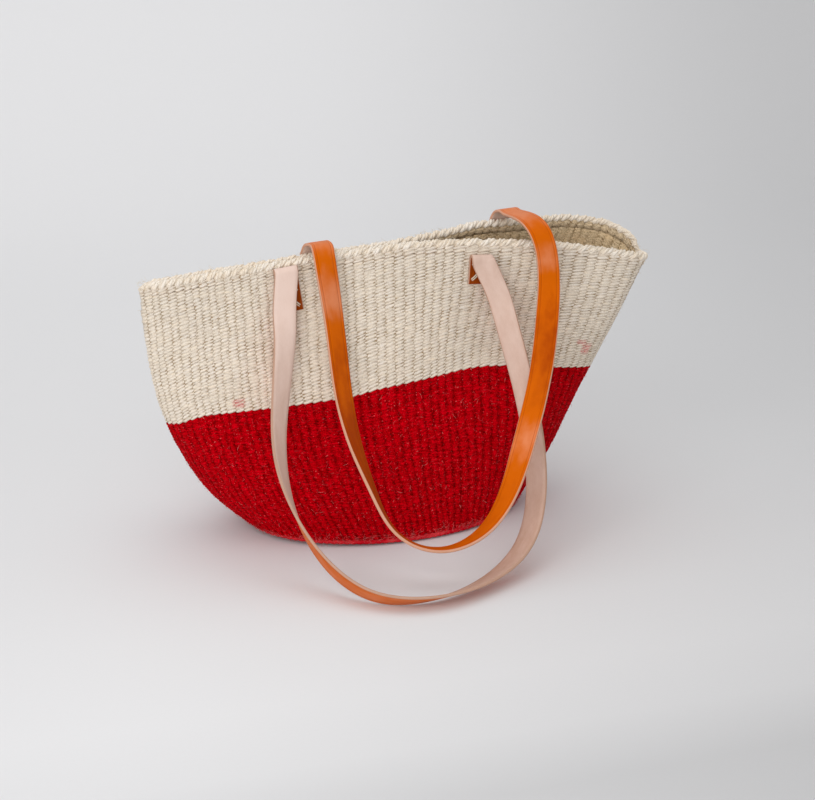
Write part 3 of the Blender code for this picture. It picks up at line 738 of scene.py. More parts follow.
def base_weave(ribs):
    """The woven base, under side and top. Each ring is middle line + (edge - middle line) x
    s, lifted to the ridge by s^7, with a relief of |sin(pi x ring)|^0.6 x beads, where
    beads = 0.75 + 0.25 x |sin(pi x ring / 2 + pairs x angle)|^0.6."""
    angle = full_turn(base_columns)
    point, out = wall_frame(angle, 0.0 * angle)[:2]
    edge = point - unit(out * np.array([1.0, 1.0, 0.0])) * ridge_diameter * base_inset_share
    core = np.stack([edge[:, 0] * base_middle_share, 0 * angle, 0 * angle], axis=1)
    s = np.linspace(0.0, 1.0, base_rings * base_ring_steps + 1)[:, None]
    hump = np.abs(np.sin(pi * s * base_rings)) ** 0.6
    beads = 0.75 + 0.25 * np.abs(np.sin(pi * s * base_rings / 2 + angle[None, :] * base_bead_pairs)) ** 0.6
    relief = base_relief * hump * beads
    plan = core[None] + (edge - core)[None] * s[..., None]
    lifted = (edge[:, 2][None] - base_drop) * s**7
    under = plan.copy()
    under[..., 2] = lifted + base_relief - relief
    over = plan.copy()
    over[..., 2] = lifted + base_thickness - base_relief + relief
    over[-1, :, 2] = lifted[-1] + base_thickness * 0.6
    rings = np.concatenate([under, over[::-1]])
    quads, step_i, step_j = grid_faces(len(rings), base_columns, False, True)
    ring_v = np.concatenate([s[:, 0], s[::-1, 0]]) * base_rings
    uv = np.stack([step_j / base_columns * ribs, ring_v[step_i]], axis=-1)
    return add_mesh("base_weave", rings, quads, uv)


def rim_core():
    """Core under the plait: an ellipse carried round the rim."""
    columns, sides = 660, 12
    point, out, up = rim_table.at(np.linspace(0.0, 1.0, columns, endpoint=False))
    rings = ellipse_round(point, out, up, full_turn(sides)[:, None], rim_thickness / 2 - core_inset[0],
                          rim_height * rim_centre_share - core_inset[1])
    quads, step_i, step_j = grid_faces(sides, columns, True, True)
    uv = np.stack([step_i / sides, step_j / columns * 1.3], axis=-1)
    return add_mesh("rim_core", rings, quads, uv)


def rim_plait(ribs):
    """The rim's plait, one strand of three plies for each rib. A strand is an ellipse's arc
    round the braid that moves along the rim as it turns; its plies wind about it by aside x
    cos(ply) along the surface and away x sin(ply) out of it, and thin out at both ends."""
    s = np.linspace(0.0, 1.0, strand_steps)[None, None, :]
    borders = rib_borders(ribs)[:-1, None, None]
    rng = np.random.default_rng(plait_seed)
    taper = np.clip(np.sin(pi * (0.05 + 0.90 * s)) * 2.2, 0, 1)
    ply = np.arange(ply_count)[None, :, None] / ply_count * 2 * pi + rng.uniform(0, 2 * pi, (ribs, 1, 1))
    ply = ply + s * rng.uniform(*ply_twist, (ribs, 1, 1))
    aside = ply_aside * np.cos(ply) * taper
    away = ply_away * np.sin(ply) * taper
    turn = plait_start + plait_sweep * s - aside * aside_round / braid_half_height
    shift = rng.uniform(-strand_shift, strand_shift, (ribs, 1, 1))
    share = borders + (s * plait_ribs + shift + aside * aside_along / rib_width) / ribs
    point, out, up = rim_table.at(share)
    jitter = rng.uniform(*strand_size, (ribs, 1, 1))
    paths = ellipse_round(point, out, up, turn, (rim_thickness / 2 - plait_inset[0]) * jitter + away,
                          (rim_height * rim_centre_share - plait_inset[1]) * jitter + away)
    strands = (ribs, ply_count, strand_steps)
    thick = ply_radius * taper * rng.uniform(*ply_size, (ribs, ply_count, 1))
    thick = np.broadcast_to(thick, strands).reshape(-1, strand_steps)
    across = np.broadcast_to(np.cross(up, out), (*strands, 3)).reshape(-1, strand_steps, 3)
    return add_tubes("rim_plait", paths.reshape(-1, strand_steps, 3), across, thick, thick * 0.9, 7)


def loose_fibres(name, count, low, high, reach, seed):
    """Loose fibres: short arcs that leave the wall, drift along it and curl back. Each
    point is base + heading x length x s + bend x curl x length x s^2 + outwards x lift x
    sin(0.75 x pi x s), kept off the floor."""
    rng = np.random.default_rng(seed)
    share = rng.uniform(0, 1, count)
    level = low(share) + (high(share) - low(share)) * rng.uniform(0, 1, count) ** 0.9
    angle = ribs_table.angles(share, level)
    point, out, up = wall_frame(angle, level)
    round_way = np.cross(up, out)
    heading = rng.uniform(0, 2 * pi, count)[:, None]
    way = round_way * np.cos(heading) + up * np.sin(heading) * 0.8
    bend = np.cross(way, out)
    length = (reach * rng.uniform(0.35, 1.0, count) ** 1.5)[:, None, None]
    s = np.linspace(0.0, 1.0, len(fibre_taper))[None, :, None]
    curl = rng.uniform(-0.6, 0.6, count)[:, None, None]
    height = (fibre_lift * rng.uniform(0.3, 1.6, count))[:, None, None]
    start = point + out * (wall_thickness / 2 + fibre_start)
    paths = start[:, None] + way[:, None] * length * s + bend[:, None] * curl * length * s**2 \
        + out[:, None] * (height * np.sin(pi * s * 0.75))
    paths[..., 2] = np.maximum(paths[..., 2], fibre_floor)
    across = np.cross(np.gradient(paths, axis=1), out[:, None])
    width = np.broadcast_to(fibre_taper, paths.shape[:2])
    return add_tubes(name, paths, across, width, width, 3)


# Straps

def curve_through(points, count):
    """Samples on a spline through the points, spaced by the root of the chords. Its first
    and last pieces keep one bend."""
    points = np.asarray(points, float)
    chord = np.r_[0.0, np.cumsum(np.sqrt(np.linalg.norm(np.diff(points[:, :3], axis=0), axis=1)))]
    return spline(chord, points, np.linspace(0.0, chord[-1], count), 1.0)


def strap_frames(path):
    """Centre, width direction and face direction along a strap: the face at right angles to
    the path, and the width at right angles to both."""
    centre = path[:, :3]
    along = unit(np.gradient(centre, axis=0))
    face = unit(path[:, 3:] - along * np.sum(path[:, 3:] * along, axis=1)[:, None])
    return centre, np.cross(along, face), face


def bend_points(corner, rise, forward, start, stop, count):
    """Points on the round of a fold, with the direction of its outer side."""
    t = np.linspace(start, stop, count)[:, None]
    way = -forward * np.cos(t) + rise * np.sin(t)
    return np.concatenate([corner + way * fold_radius, way], axis=1)


def front_end(x_share, fold_level, tab_length, slew):
    """Sewn end on the front wall: lower end, top, middle of the fold and its directions."""
    x = x_share * mouth_length
    clear = wall_thickness / 2 + sewn_gap + strap_thickness / 2
    low_level = fold_level - tab_length / basket_height
    low, low_out = wall_frame(np.array([angle_at(x + slew, low_level)]), low_level)[:2]
    high, high_out = wall_frame(np.array([angle_at(x, fold_level)]), fold_level)[:2]
    bottom = low[0] + low_out[0] * clear
    top = high[0] + high_out[0] * clear
    rise = unit(top - bottom)
    forward = unit(high_out[0] - rise * (high_out[0] @ rise))
    return bottom, top, top + forward * fold_radius, rise, forward


def rest_on_floor(path, count):
    """Lowers the loop, or lifts it, until its lowest edge just stands on the floor. Each of
    three rounds moves a point by the gap x (1 - its height / the top's)."""
    for _ in range(3):
        centre, across, face = strap_frames(curve_through(path, count))
        edge = centre[:, 2] - np.abs(across[:, 2]) * strap_width / 2 \
            - np.abs(face[:, 2]) * strap_thickness / 2
        change = join_gap - edge.min()
        path[:, 2] += change * np.clip(1 - path[:, 2] / path[:, 2].max(), 0.0, 1.0)
    return path


def loop_points(shares, reach):
    """Table of a loop as places in metres with their face directions: x = share of the mouth's
    length, y = the base's front edge less the share of the reach, z = share of the height."""
    table = np.asarray(shares, float)
    return np.concatenate([table[:, :1] * mouth_length, -base_depth / 2 - table[:, 1:2] * reach,
                           table[:, 2:3] * basket_height, table[:, 3:]], axis=1)


def joined_route(tabs, loop, samples, overlap):
    """Samples on the left tab, the loop and the right tab, less the tabs' last ones."""
    left, right = [curve_through(tab, samples[0])[:-overlap] for tab in tabs]
    return np.concatenate([left, curve_through(loop, samples[1]), right[::-1]])


def front_path():
    """The front strap from tab to tab: up the wall, over the fold, round the loop and back. Returns its
    points, the two ends of an axis over the folds, the left fold's forward direction, and each stitch's
    centre with its directions across, up and out."""
    ends = [front_end(front_left_share, front_fold_share, left_tab_length, left_tab_slew),
            front_end(front_right_share, front_right_fold_share, right_tab_length, right_tab_slew)]
    rounds = [bend_points(middle, rise, forward, pi / 2 + fold_step / fold_radius, pi, 5)
              for _, _, middle, rise, forward in ends]
    loop = rest_on_floor(np.concatenate([rounds[0], loop_points(front_loop_shares, front_reach),
                                         rounds[1][::-1]]), floor_samples)
    tabs = []
    for bottom, top, middle, rise, forward in ends:
        s = np.linspace(0.0, 0.9, 4)[:, None]
        flat = np.concatenate([bottom + (top - bottom) * s, 0 * s - forward], axis=1)
        tabs.append(np.concatenate([flat, bend_points(middle, rise, forward, 0.0, pi / 2, 6)[:-1]]))
    path = joined_route(tabs, loop, front_samples, 2)
    first, last = [middle + rise * (fold_radius + axis_over_strap) for _, _, middle, rise, _ in ends]
    marks = [(bottom + rise * strap_width * stitch_place_share, np.cross(rise, forward), rise, forward)
             for bottom, _, _, rise, forward in ends]
    return path, first, last, ends[0][4], marks


def rear_tab(x_share):
    """Sewn end behind the back wall, from its lower end up to the rim: its points, and the
    outward direction at each."""
    x = x_share * mouth_length
    half = strap_thickness / 2
    braid_low = 1 - rim_height / basket_height
    places = ((braid_low - rear_tab_length / basket_height, wall_thickness / 2),
              (braid_low - rear_tab_length / basket_height * rear_tab_bend_share, wall_thickness / 2),
              (braid_low - under_braid_share, (wall_thickness + rim_thickness) / 4 + sewn_gap / 2),
              (1 - rim_height / basket_height / 2, rim_thickness / 2))
    frames, path = [], []
    for level, skin in places:
        point, out = wall_frame(np.array([angle_at(x, level, True)]), level)[:2]
        frames.append((point[0] + out[0] * (skin + sewn_gap + half), out[0]))
        path.append(np.r_[frames[-1][0], out[0]])
    return frames, path


def rear_end(tab, flat, rise_over, advance):
    """The tab and the arch after it: top - flat x advance x (1 - cos) + up x height x sin.
    Returns the points up to the arch's crown, and the crown."""
    frames, path = tab
    top = frames[-1][0]
    height = rim_height / 2 + rise_over
    for t in arch_angles:
        way = flat * np.cos(t) + straight_up * np.sin(t)
        path.append(np.r_[top - flat * advance * (1 - np.cos(t)) + straight_up * height * np.sin(t), way])
    crown = top - flat * advance + straight_up * height
    path.append(np.r_[crown, straight_up])
    return np.array(path), crown


def rear_path():
    """The rear strap from tab to tab: up behind the wall, over the arch, round the loop
    and back. Returns the same things as front_path."""
    tabs = [rear_tab(rear_left_share), rear_tab(rear_right_share)]
    line = tabs[1][0][-1][0] - tabs[0][0][-1][0]
    flat = unit(np.array([-line[1], line[0], 0.0]))
    ends = [rear_end(tab, flat, *arch) for tab, arch in zip(tabs, rear_arches)]
    starts, marks = [], []
    for (frames, _), (_, crown), (_, advance) in zip(tabs, ends, rear_arches):
        drop = crown[2] - frames[-1][0][2]
        starts.append(np.array([np.r_[crown - flat * (advance * np.sin(t) + fold_step)
                                      - straight_up * drop * (1 - np.cos(t)),
                                      straight_up * np.cos(t) - flat * np.sin(t)]
                                for t in arch_start_angles]))
        rise = frames[1][0] - frames[0][0]
        place = frames[0][0] + rise * stitch_place_share
        rise = unit(rise)
        face = unit(frames[0][1] - rise * (frames[0][1] @ rise))
        marks.append((place, np.cross(rise, face), rise, face))
    loop = np.concatenate([starts[0], loop_points(rear_loop_shares, rear_reach), starts[1][::-1]])
    path = joined_route([points for points, _ in ends], loop, rear_samples, 1)
    first, last = [crown + straight_up * axis_over_strap for _, crown in ends]
    return path, first, last, -flat, marks


def strap_profile(side):
    """Section of a strap as (across, height) points and the material slot of each part: the
    smooth side has a crease line pressed in near each edge and is a little crowned, the
    raw side is plain and the cut edges are eased."""
    w, t, c = strap_width / 2, strap_thickness / 2, edge_round
    line, near = w - crease_inset, crease_half_width
    smooth = [(w - c, t), (line + near, t), (line, t - crease_depth), (line - near, t),
              (w * 0.5, t * 1.02), (0.0, t * 1.03)]
    smooth += [(-x, h) for x, h in smooth[-2::-1]]
    raw = [(-w + c, -t), (-w * 0.6, -t), (-w * 0.2, -t), (w * 0.2, -t), (w * 0.6, -t), (w - c, -t)]
    points = smooth + [(-w, t - c), (-w, -t + c)] + raw + [(w, -t + c), (w, t - c)]
    slots = [0] * (len(smooth) - 1) + [2] * 3 + [1] * (len(raw) - 1) + [2] * 3
    return np.array([(x, side * h) for x, h in points]), np.array(slots)


def make_strap(name, path, side):
    """Strap as its section carried along the path, evenly by length, with closed ends. Its
    width wanders a little: 1 + 0.006 x sin(61 x length) + 0.004 x sin(143 x length + 1)."""
    chord = np.r_[0.0, np.cumsum(np.linalg.norm(np.diff(path[:, :3], axis=0), axis=1))]
    even = np.linspace(0.0, chord[-1], strap_samples)
    path = np.stack([np.interp(even, chord, path[:, k]) for k in range(6)], axis=1)
    smoothed = path.copy()
    for _ in range(2):
        smoothed[1:-1] = (smoothed[:-2] + 2 * smoothed[1:-1] + smoothed[2:]) / 4
    centre, across, face = strap_frames(smoothed)
    profile, slots = strap_profile(side)
    number = len(profile)
    wave = 1 + 0.006 * np.sin(even * 61.0) + 0.004 * np.sin(even * 143.0 + 1.0)
    rings = (centre[:, None] + across[:, None] * (profile[None, :, :1] * wave[:, None, None])
             + face[:, None] * profile[None, :, 1:])
    quads, step_i, step_j = grid_faces(strap_samples, number, False, True)
    place = profile[:, 0] / strap_width
    uv = np.stack([place[step_j % number], even[step_i]], axis=-1)
    caps = np.stack([np.arange(number)[::-1], np.arange(number) + (strap_samples - 1) * number])
    cap_uv = np.stack([np.stack([place[::-1], np.zeros(number)], -1),
                       np.stack([place, np.full(number, even[-1])], -1)])
    all_slots = np.concatenate([slots[step_j[:, 0] % number], [2, 2]])
    return add_mesh(name, rings, quads, uv, caps, cap_uv, all_slots), even[-1]


# Stage

def paper_sweep():
    """Paper from the floor up behind the basket, by t from 0 to 1: flat up to t = 0.5, a
    quarter round up to 0.8, then straight up."""
    rows, columns = 41, 3
    x = np.linspace(-sweep_half_width, sweep_half_width, columns)[None, :]
    t = np.linspace(0.0, 1.0, rows)[:, None]
    turn = np.clip((t - 0.5) / 0.3, 0, 1) * pi / 2
    y = np.where(t < 0.5, sweep_front + t / 0.5 * (sweep_foot - sweep_front),
                 sweep_foot + sweep_radius * np.sin(turn))
    z = np.where(t < 0.5, 0.0, sweep_radius * (1 - np.cos(turn))) \
        + np.clip((t - 0.8) / 0.2, 0, 1) * sweep_height
    points = np.stack(np.broadcast_arrays(x + 0 * t, y + 0 * x, z + 0 * x), axis=-1)
    return add_mesh("paper_sweep", points, grid_faces(rows, columns, False, False)[0])


# Materials

class Wire:
    """A shader number. Arithmetic on it adds the matching Math nodes."""

    def __init__(self, finish, socket):
        self.finish, self.socket = finish, socket

    def maths(self, operation, *others):
        return self.finish.node("ShaderNodeMath", {"operation": operation}, [self, *others])

    def __add__(self, other):
        return self.maths("ADD", other)

    def __sub__(self, other):
        return self.maths("SUBTRACT", other)

    def __rsub__(self, other):
        return self.finish.node("ShaderNodeMath", {"operation": "SUBTRACT"}, [other, self])

    def __mul__(self, other):
        return self.maths("MULTIPLY", other)

    def __truediv__(self, other):
        return self.maths("DIVIDE", other)

    __radd__, __rmul__ = __add__, __mul__

    def fraction(self):
        return self.maths("FRACT")

    def floor(self):
        return self.maths("FLOOR")

    def size(self):
        return self.maths("ABSOLUTE")

    def least(self, other):
        return self.maths("MINIMUM", other)

    def most(self, other):
        return self.maths("MAXIMUM", other)

    def between(self, low, high):
        """0 at low, 1 at high, with a soft step between them."""
        return self.finish.node("ShaderNodeMapRange", {"interpolation_type": "SMOOTHSTEP"},
                                {"Value": self, "From Min": low, "From Max": high})


class Finish:
    """A material in the making: nodes are added by one method and joined to the shader."""

    def __init__(self, name):
        self.material = bpy.data.materials.new(name)
        self.material.use_nodes = True
        self.tree = self.material.node_tree
        self.shader = self.tree.nodes["Principled BSDF"]

    def node(self, kind, settings, inputs, output=0):
        """Adds a node: its settings first, then its sockets by place or by name."""
        made = self.tree.nodes.new(kind)
        for key, value in settings.items():
            if key == "stops":
                ends = made.color_ramp.elements
                ends[0].position, ends[0].color = value[0][0], (*value[0][1], 1.0)
                ends[1].position, ends[1].color = value[-1][0], (*value[-1][1], 1.0)
                for place, colour in value[1:-1]:
                    ends.new(place).color = (*colour, 1.0)
            else:
                setattr(made, key, value)
        pairs = inputs.items() if isinstance(inputs, dict) else enumerate(inputs)
        for key, value in pairs:
            self.join(made.inputs[key], value)
        return Wire(self, made.outputs[output])

    def join(self, socket, value):
        if isinstance(value, Wire):
            self.tree.links.new(value.socket, socket)
        elif isinstance(value, (tuple, list)) and socket.type == "RGBA":
            socket.default_value = (*value[:3], 1.0)
        else:
            socket.default_value = value

    def x_and_y(self, place):
        """X and Y of a vector, as two numbers."""
        return [self.node("ShaderNodeSeparateXYZ", {}, [place], k) for k in (0, 1)]

    def weave_uv(self):
        """The piece's own two coordinates, as two numbers."""
        return self.x_and_y(self.node("ShaderNodeUVMap", {"uv_map": "weave"}, []))

    def vector(self, x, y, z):
        return self.node("ShaderNodeCombineXYZ", {}, [x, y, z])

    def object_place(self):
        return self.node("ShaderNodeTexCoord", {}, [], "Object")

    def noise(self, place, scale, detail, rough):
        return self.node("ShaderNodeTexNoise", {},
                         {"Vector": place, "Scale": scale, "Detail": detail, "Roughness": rough})

    def drift(self, x, y, z, detail, rough):
        """Noise over three numbers, one cell of it to each whole step."""
        return self.noise(self.vector(x, y, z), 1.0, detail, rough)

    def chance(self, x, y, z=0.0):
        """One random number for each whole place."""
        return self.node("ShaderNodeTexWhiteNoise", {"noise_dimensions": "3D"},
                         {"Vector": self.vector(x, y, z)})

    def mix(self, factor, first, second, blend="MIX"):
        return self.node("ShaderNodeMix", {"data_type": "RGBA", "blend_type": blend},
                         {0: factor, 6: first, 7: second}, 2)

    def shaded(self, colour, shade):
        """The colour times a grey number."""
        grey = self.node("ShaderNodeCombineColor", {}, [shade, shade, shade])
        return self.mix(1.0, colour, grey, "MULTIPLY")

    def bump(self, height, strength, distance):
        return self.node("ShaderNodeBump", {},
                         {"Strength": strength, "Distance": distance, "Height": height})

    def done(self, colour, roughness, normal, **fixed):
        self.join(self.shader.inputs["Base Color"], colour)
        self.join(self.shader.inputs["Roughness"], roughness)
        self.join(self.shader.inputs["Normal"], normal)
        for key, value in fixed.items():
            self.join(self.shader.inputs[key.replace("_", " ")], value)
        return self.material


def sisal(name, light, pale, deep, warm, slant, gap_shade_share, side_shade_share, fuzz_share,
          side_shade_width=0.3, fleck=None, strays=()):
    """Twined sisal on rib and row coordinates: leaning oval stitches with painted shade in the gap over each
    stitch, darkest where the gap runs into its neighbours, and down both sides of each rib; a slow noise
    makes the painted shade stronger or weaker here and there. Darkness = gap x gap_shade_share + side x
    side_shade_share, times the smear, + strands and fuzz x fuzz_share. Flecks and stray marks lie over it."""
    f = Finish(name)
    u, v = f.weave_uv()
    place = f.object_place()
    blur = f.noise(place, 420.0, 2.0, 0.6)
    blur_two = f.drift(u * 0.9, v * 0.9, 11.0, 2.0, 0.6)
    across = (u + (blur - 0.5) * 0.40).fraction()
    raised = v - slant * (across - 0.5) + (blur_two - 0.5) * 0.5
    upright = raised.fraction()
    own = f.chance(u.floor(), raised.floor())
    own_two = f.chance(u.floor(), raised.floor(), 7.0)
    smear = f.drift(u * 0.55, v * 0.30, 3.0, 3.0, 0.6)
    edge = 1 - (2 * across - 1).size()
    rim = 1 - (2 * upright - 1).size()
    # Painted shade: the gap over each stitch, deepest at its ends, and the sides of each rib.
    ends = 1 - edge.between(0.0, 0.85)
    gap = (1 - rim.between(0.0, 0.85)) * (0.30 + ends * 0.62) * (0.40 + own * 0.80)
    side = (1 - edge.between(0.0, side_shade_width)) * (0.35 + own_two * 0.9)
    streak = f.drift(u * 2.2 + own * 9, raised * 6, own_two * 5, 3.0, 0.65)
    fuzz = f.noise(place, 1050.0, 4.0, 0.7)
    strands = f.drift(u * 0.55 - v * 0.5, v * 1.9 + u * 0.7, 5.0, 4.0, 0.75)
    patch = f.noise(place, 16.0, 3.0, 0.55)
    # Darkness: the painted shade, varied by the smear, plus the fibres' dark strands and fuzz.
    dark = (gap * gap_shade_share + side * side_shade_share) * (0.70 + smear.between(0.40, 0.58) * 0.40) \
        + (strands.between(0.66, 0.36) - 0.5) * fuzz_share * 0.7 \
        + (fuzz.between(0.62, 0.36) - 0.4) * fuzz_share
    colour = f.mix(own * 0.40 + streak.between(0.42, 0.66) * 0.60, light, pale)
    colour = f.mix(strands.between(0.50, 0.66) * 0.55, colour, warm)
    # The deep colour is mixed in by the painted shade and the dark fibres.
    colour = f.mix(dark.most(0.0).least(1.0), colour, deep)
    colour = f.shaded(colour, 0.88 + patch * 0.24)
    if fleck is not None:
        spots = f.noise(place, 560.0, 3.0, 0.7)
        colour = f.mix(spots.between(0.635, 0.70) * (0.25 + patch * 0.9), colour, fleck)
    for x, y, wide, high, stain in strays:
        near = (1 - (u - x).size().between(wide * 0.5, wide)) * (1 - (v - y).size().between(high * 0.5, high))
        colour = f.mix(near * streak.between(0.38, 0.6) * (1 - rim.between(0.2, 1.0) * 0.5), colour, stain)
    height = (1 - dark.most(0.0).least(1.0)) * 0.6 + streak * 0.2 + strands * 0.25 + fuzz * 0.35
    return f.done(colour, 0.85 + streak * 0.1, f.bump(height, 0.9, 0.0008), Specular_IOR_Level=0.06,
                  Specular_Tint=pale)


def twisted_sisal(name, light, pale, deep, lay, ply=1.0):
    """Strands of a braid: fibres run along each strand and lean with its twist, lay cells
    across for each metre along; ply scales the fibres' number."""
    f = Finish(name)
    u, v = f.weave_uv()
    place = f.object_place()
    own = f.chance(u.floor(), 0.0)
    streak = f.drift(u * 9 * ply + v * lay, v * 90, own * 8, 4.0, 0.7)
    fuzz = f.noise(place, 1050.0, 4.0, 0.7)
    patch = f.noise(place, 60.0, 3.0, 0.55)
    colour = f.mix(own * 0.4 + patch.between(0.4, 0.65) * 0.6, light, pale)
    dark = streak.between(0.52, 0.30) * 0.42 + fuzz.between(0.55, 0.36) * 0.40
    colour = f.mix(dark.least(1.0), colour, deep)
    height = streak * 0.6 + fuzz * 0.4
    return f.done(colour, 0.85 + streak * 0.1, f.bump(height, 0.9, 0.0007), Specular_IOR_Level=0.06,
                  Specular_Tint=pale)


def plain_thread(name, light, deep):
    """Short loose fibres or waxed thread, shaded a little along their length."""
    f = Finish(name)
    u, v = f.weave_uv()
    own = f.chance(u.floor(), 2.0)
    twist = f.drift(u * 3, v * 900, own, 2.0, 0.5)
    colour = f.mix(own * 0.7 + twist * 0.3, deep, light)
    return f.done(colour, 0.6 + twist * 0.2, f.bump(twist, 0.4, 0.0002))


def stops_along(f, v, length, places):
    """A number along a strap from (share of its length, value) pairs."""
    grey = [(place, (value, value, value)) for place, value in places]
    return f.node("ShaderNodeValToRGB", {"stops": grey}, [v / length])


def smooth_leather(name, tan, brown, pale, length, places):
    """Grain side of vegetable-tanned leather: fine pores, cloudy tan that goes browner or paler along the
    strap, a dark crease line near each edge and rubbed borders. The paler stretches are painted sheen,
    highlights of the light on the leather, and the brown at the front strap's tabs is painted shade. The
    places are (share of the length, tone): 0 is brown, 0.5 tan and 1 pale."""
    f = Finish(name)
    u, v = f.weave_uv()
    cloud = f.drift(u * 1.6, v * 30, 1.0, 2.0, 0.5)
    mottle = f.drift(u * 4.0, v * 110, 4.0, 2.0, 0.5)
    scuff = f.drift(u * 26, v * 140, 8.0, 3.0, 0.7)
    pores = f.drift(u * 120, v * 5400, 0.0, 3.0, 0.6)
    line = 1 - ((u.size() - 0.35).size()).between(0.004, 0.020)
    border = u.size().between(0.40, 0.50)
    # Tone along the strap: painted sheen where it is pale, painted shade on the front tabs where it is brown.
    tone = stops_along(f, v, length, places) + (cloud - 0.5) * 0.55 + (mottle - 0.5) * 0.25
    colour = f.mix(tone.between(0.5, 1.05), tan, pale)
    colour = f.mix(tone.between(0.52, -0.05), colour, brown)
    colour = f.mix((line * 0.5 + border * 0.35).least(1.0), colour, brown)
    colour = f.mix(scuff.between(0.62, 0.78) * 0.16, colour, pale)
    colour = f.mix(pores.between(0.55, 0.8) * 0.15, colour, brown)
    height = pores * 0.5 + mottle * 0.2
    return f.done(colour, 0.44 + cloud * 0.14 + pores * 0.06, f.bump(height, 0.25, 0.0002),
                  Specular_IOR_Level=0.16, Specular_Tint=(1.0, 0.42, 0.10))


def raw_leather(name, pale, stain_and_shade, length, places):
    """Flesh side: pale nap with short fibres, browner along the strap by (share of the length, amount):
    handling stains, with painted shade on the front loop's bends."""
    f = Finish(name)
    u, v = f.weave_uv()
    nap = f.drift(u * 60, v * 2700, 0.0, 4.0, 0.7)
    cloud = f.drift(u * 2.5, v * 44, 2.0, 4.0, 0.65)
    hair = f.drift(u * 22, v * 240, 6.0, 3.0, 0.7)
    border = u.size().between(0.36, 0.5)
    # Browner by the table: handling stains and painted shade.
    wear_and_shade = stops_along(f, v, length, places)
    stain = wear_and_shade * (0.7 + cloud * 0.6) + (cloud - 0.5) * 0.35 + (hair - 0.5) * 0.25 + border * 0.10
    colour = f.mix(stain.most(0.0).least(1.0), pale, stain_and_shade)
    colour = f.shaded(colour, 0.92 + nap * 0.12 + hair * 0.04)
    return f.done(colour, 0.85 + nap * 0.1, f.bump(nap * 0.6 + hair * 0.4, 0.4, 0.0004),
                  Specular_IOR_Level=0.1)


def cut_edge(name, pale, dark):
    """Cut edge of the leather: packed fibres seen end on."""
    f = Finish(name)
    u, v = f.weave_uv()
    fibre = f.noise(f.object_place(), 1400.0, 3.0, 0.7)
    cloud = f.drift(u, v * 60, 9.0, 2.0, 0.5)
    colour = f.mix(fibre * 0.6 + cloud * 0.4 - 0.15, pale, dark)
    return f.done(colour, 0.7 + fibre * 0.15, f.bump(fibre, 0.4, 0.0003), Specular_IOR_Level=0.3)


def backdrop_paper(name, tones):
    """Matt paper sweep: grey tones from the front of the floor to the top of the sweep, given as (share of
    the way, grey), a little darker towards both sides. The greys and the darkening are painted light and
    shade: the fall of the lamps' light over the paper."""
    f = Finish(name)
    place = f.object_place()
    x, y = f.x_and_y(place)
    grain = f.noise(place, 300.0, 2.0, 0.5)
    # Painted light: the greys along the sweep.
    stops = [(way, (grey, grey, grey * 1.012)) for way, grey in tones]
    colour = f.node("ShaderNodeValToRGB", {"stops": stops}, [(y + tones_ahead) / tones_length])
    # Painted shade: darker towards the right and the far left.
    shade = 1 - (x - y * 0.33).between(-0.25, 0.85) * 0.20 - (0 - x).between(0.25, 0.85) * 0.07 \
        - grain * 0.02
    colour = f.shaded(colour, shade)
    return f.done(colour, 0.95, f.bump(grain, 0.02, 0.0002), Specular_IOR_Level=0.0)


# Settings

class KiondoWeave(bpy.types.PropertyGroup):
    """Sizes of the twined weave"""

    ribs: IntProperty(name="Ribs", description="Upright ribs round the basket", default=110, min=20)
    red_rows: IntProperty(name="Red rows", description="Weft rows in the red part", default=45, min=4)
    natural_rows: IntProperty(name="Natural rows", description="Weft rows in the natural part",
                              default=38, min=4)
    relief: FloatProperty(name="Relief", description="Height of the ribs over their gaps",
                          default=0.0012, subtype="DISTANCE")
    slant: FloatProperty(name="Lean", description="Rows that a stitch climbs over its rib", default=0.6)
    fibres: IntProperty(name="Loose fibres", description="Fine fibres standing off the weave",
                        default=1500, min=0)


class KiondoColours(bpy.types.PropertyGroup):
    """Colours of the sisal, leather and thread"""

    red: FloatVectorProperty(name="Red", description="Dyed sisal", subtype="COLOR", size=3,
                             default=(0.54, 0.0, 0.003))
    natural: FloatVectorProperty(name="Natural", description="Undyed sisal", subtype="COLOR", size=3,
                                 default=(0.885, 0.775, 0.64))
    tan: FloatVectorProperty(name="Tan", description="Smooth side of the leather", subtype="COLOR",
                             size=3, default=(0.62, 0.115, 0.001))
    raw: FloatVectorProperty(name="Raw", description="Flesh side of the leather", subtype="COLOR",
                             size=3, default=(0.77, 0.59, 0.51))
    thread: FloatVectorProperty(name="Thread", description="Waxed thread", subtype="COLOR", size=3,
                                default=(0.85, 0.78, 0.66))


class KiondoStage(bpy.types.PropertyGroup):
    """Camera and lights"""

    azimuth: FloatProperty(name="Azimuth", description="Camera's heading round the basket",
                           default=radians(-18.0), subtype="ANGLE")
    elevation: FloatProperty(name="Elevation", description="Camera's height over the horizon",
                             default=radians(20.0), subtype="ANGLE")
    distance: FloatProperty(name="Distance", description="Camera to the point it looks at",
                            default=1.8, subtype="DISTANCE")
    lens: FloatProperty(name="Lens", description="Focal length in millimetres", default=83.5)
    key: FloatProperty(name="Key light", description="Strength of the large soft lamp", default=24.0,
                       subtype="POWER")
    fill: FloatProperty(name="Fill", description="Strength of the light from all round", default=0.62)


# Operators

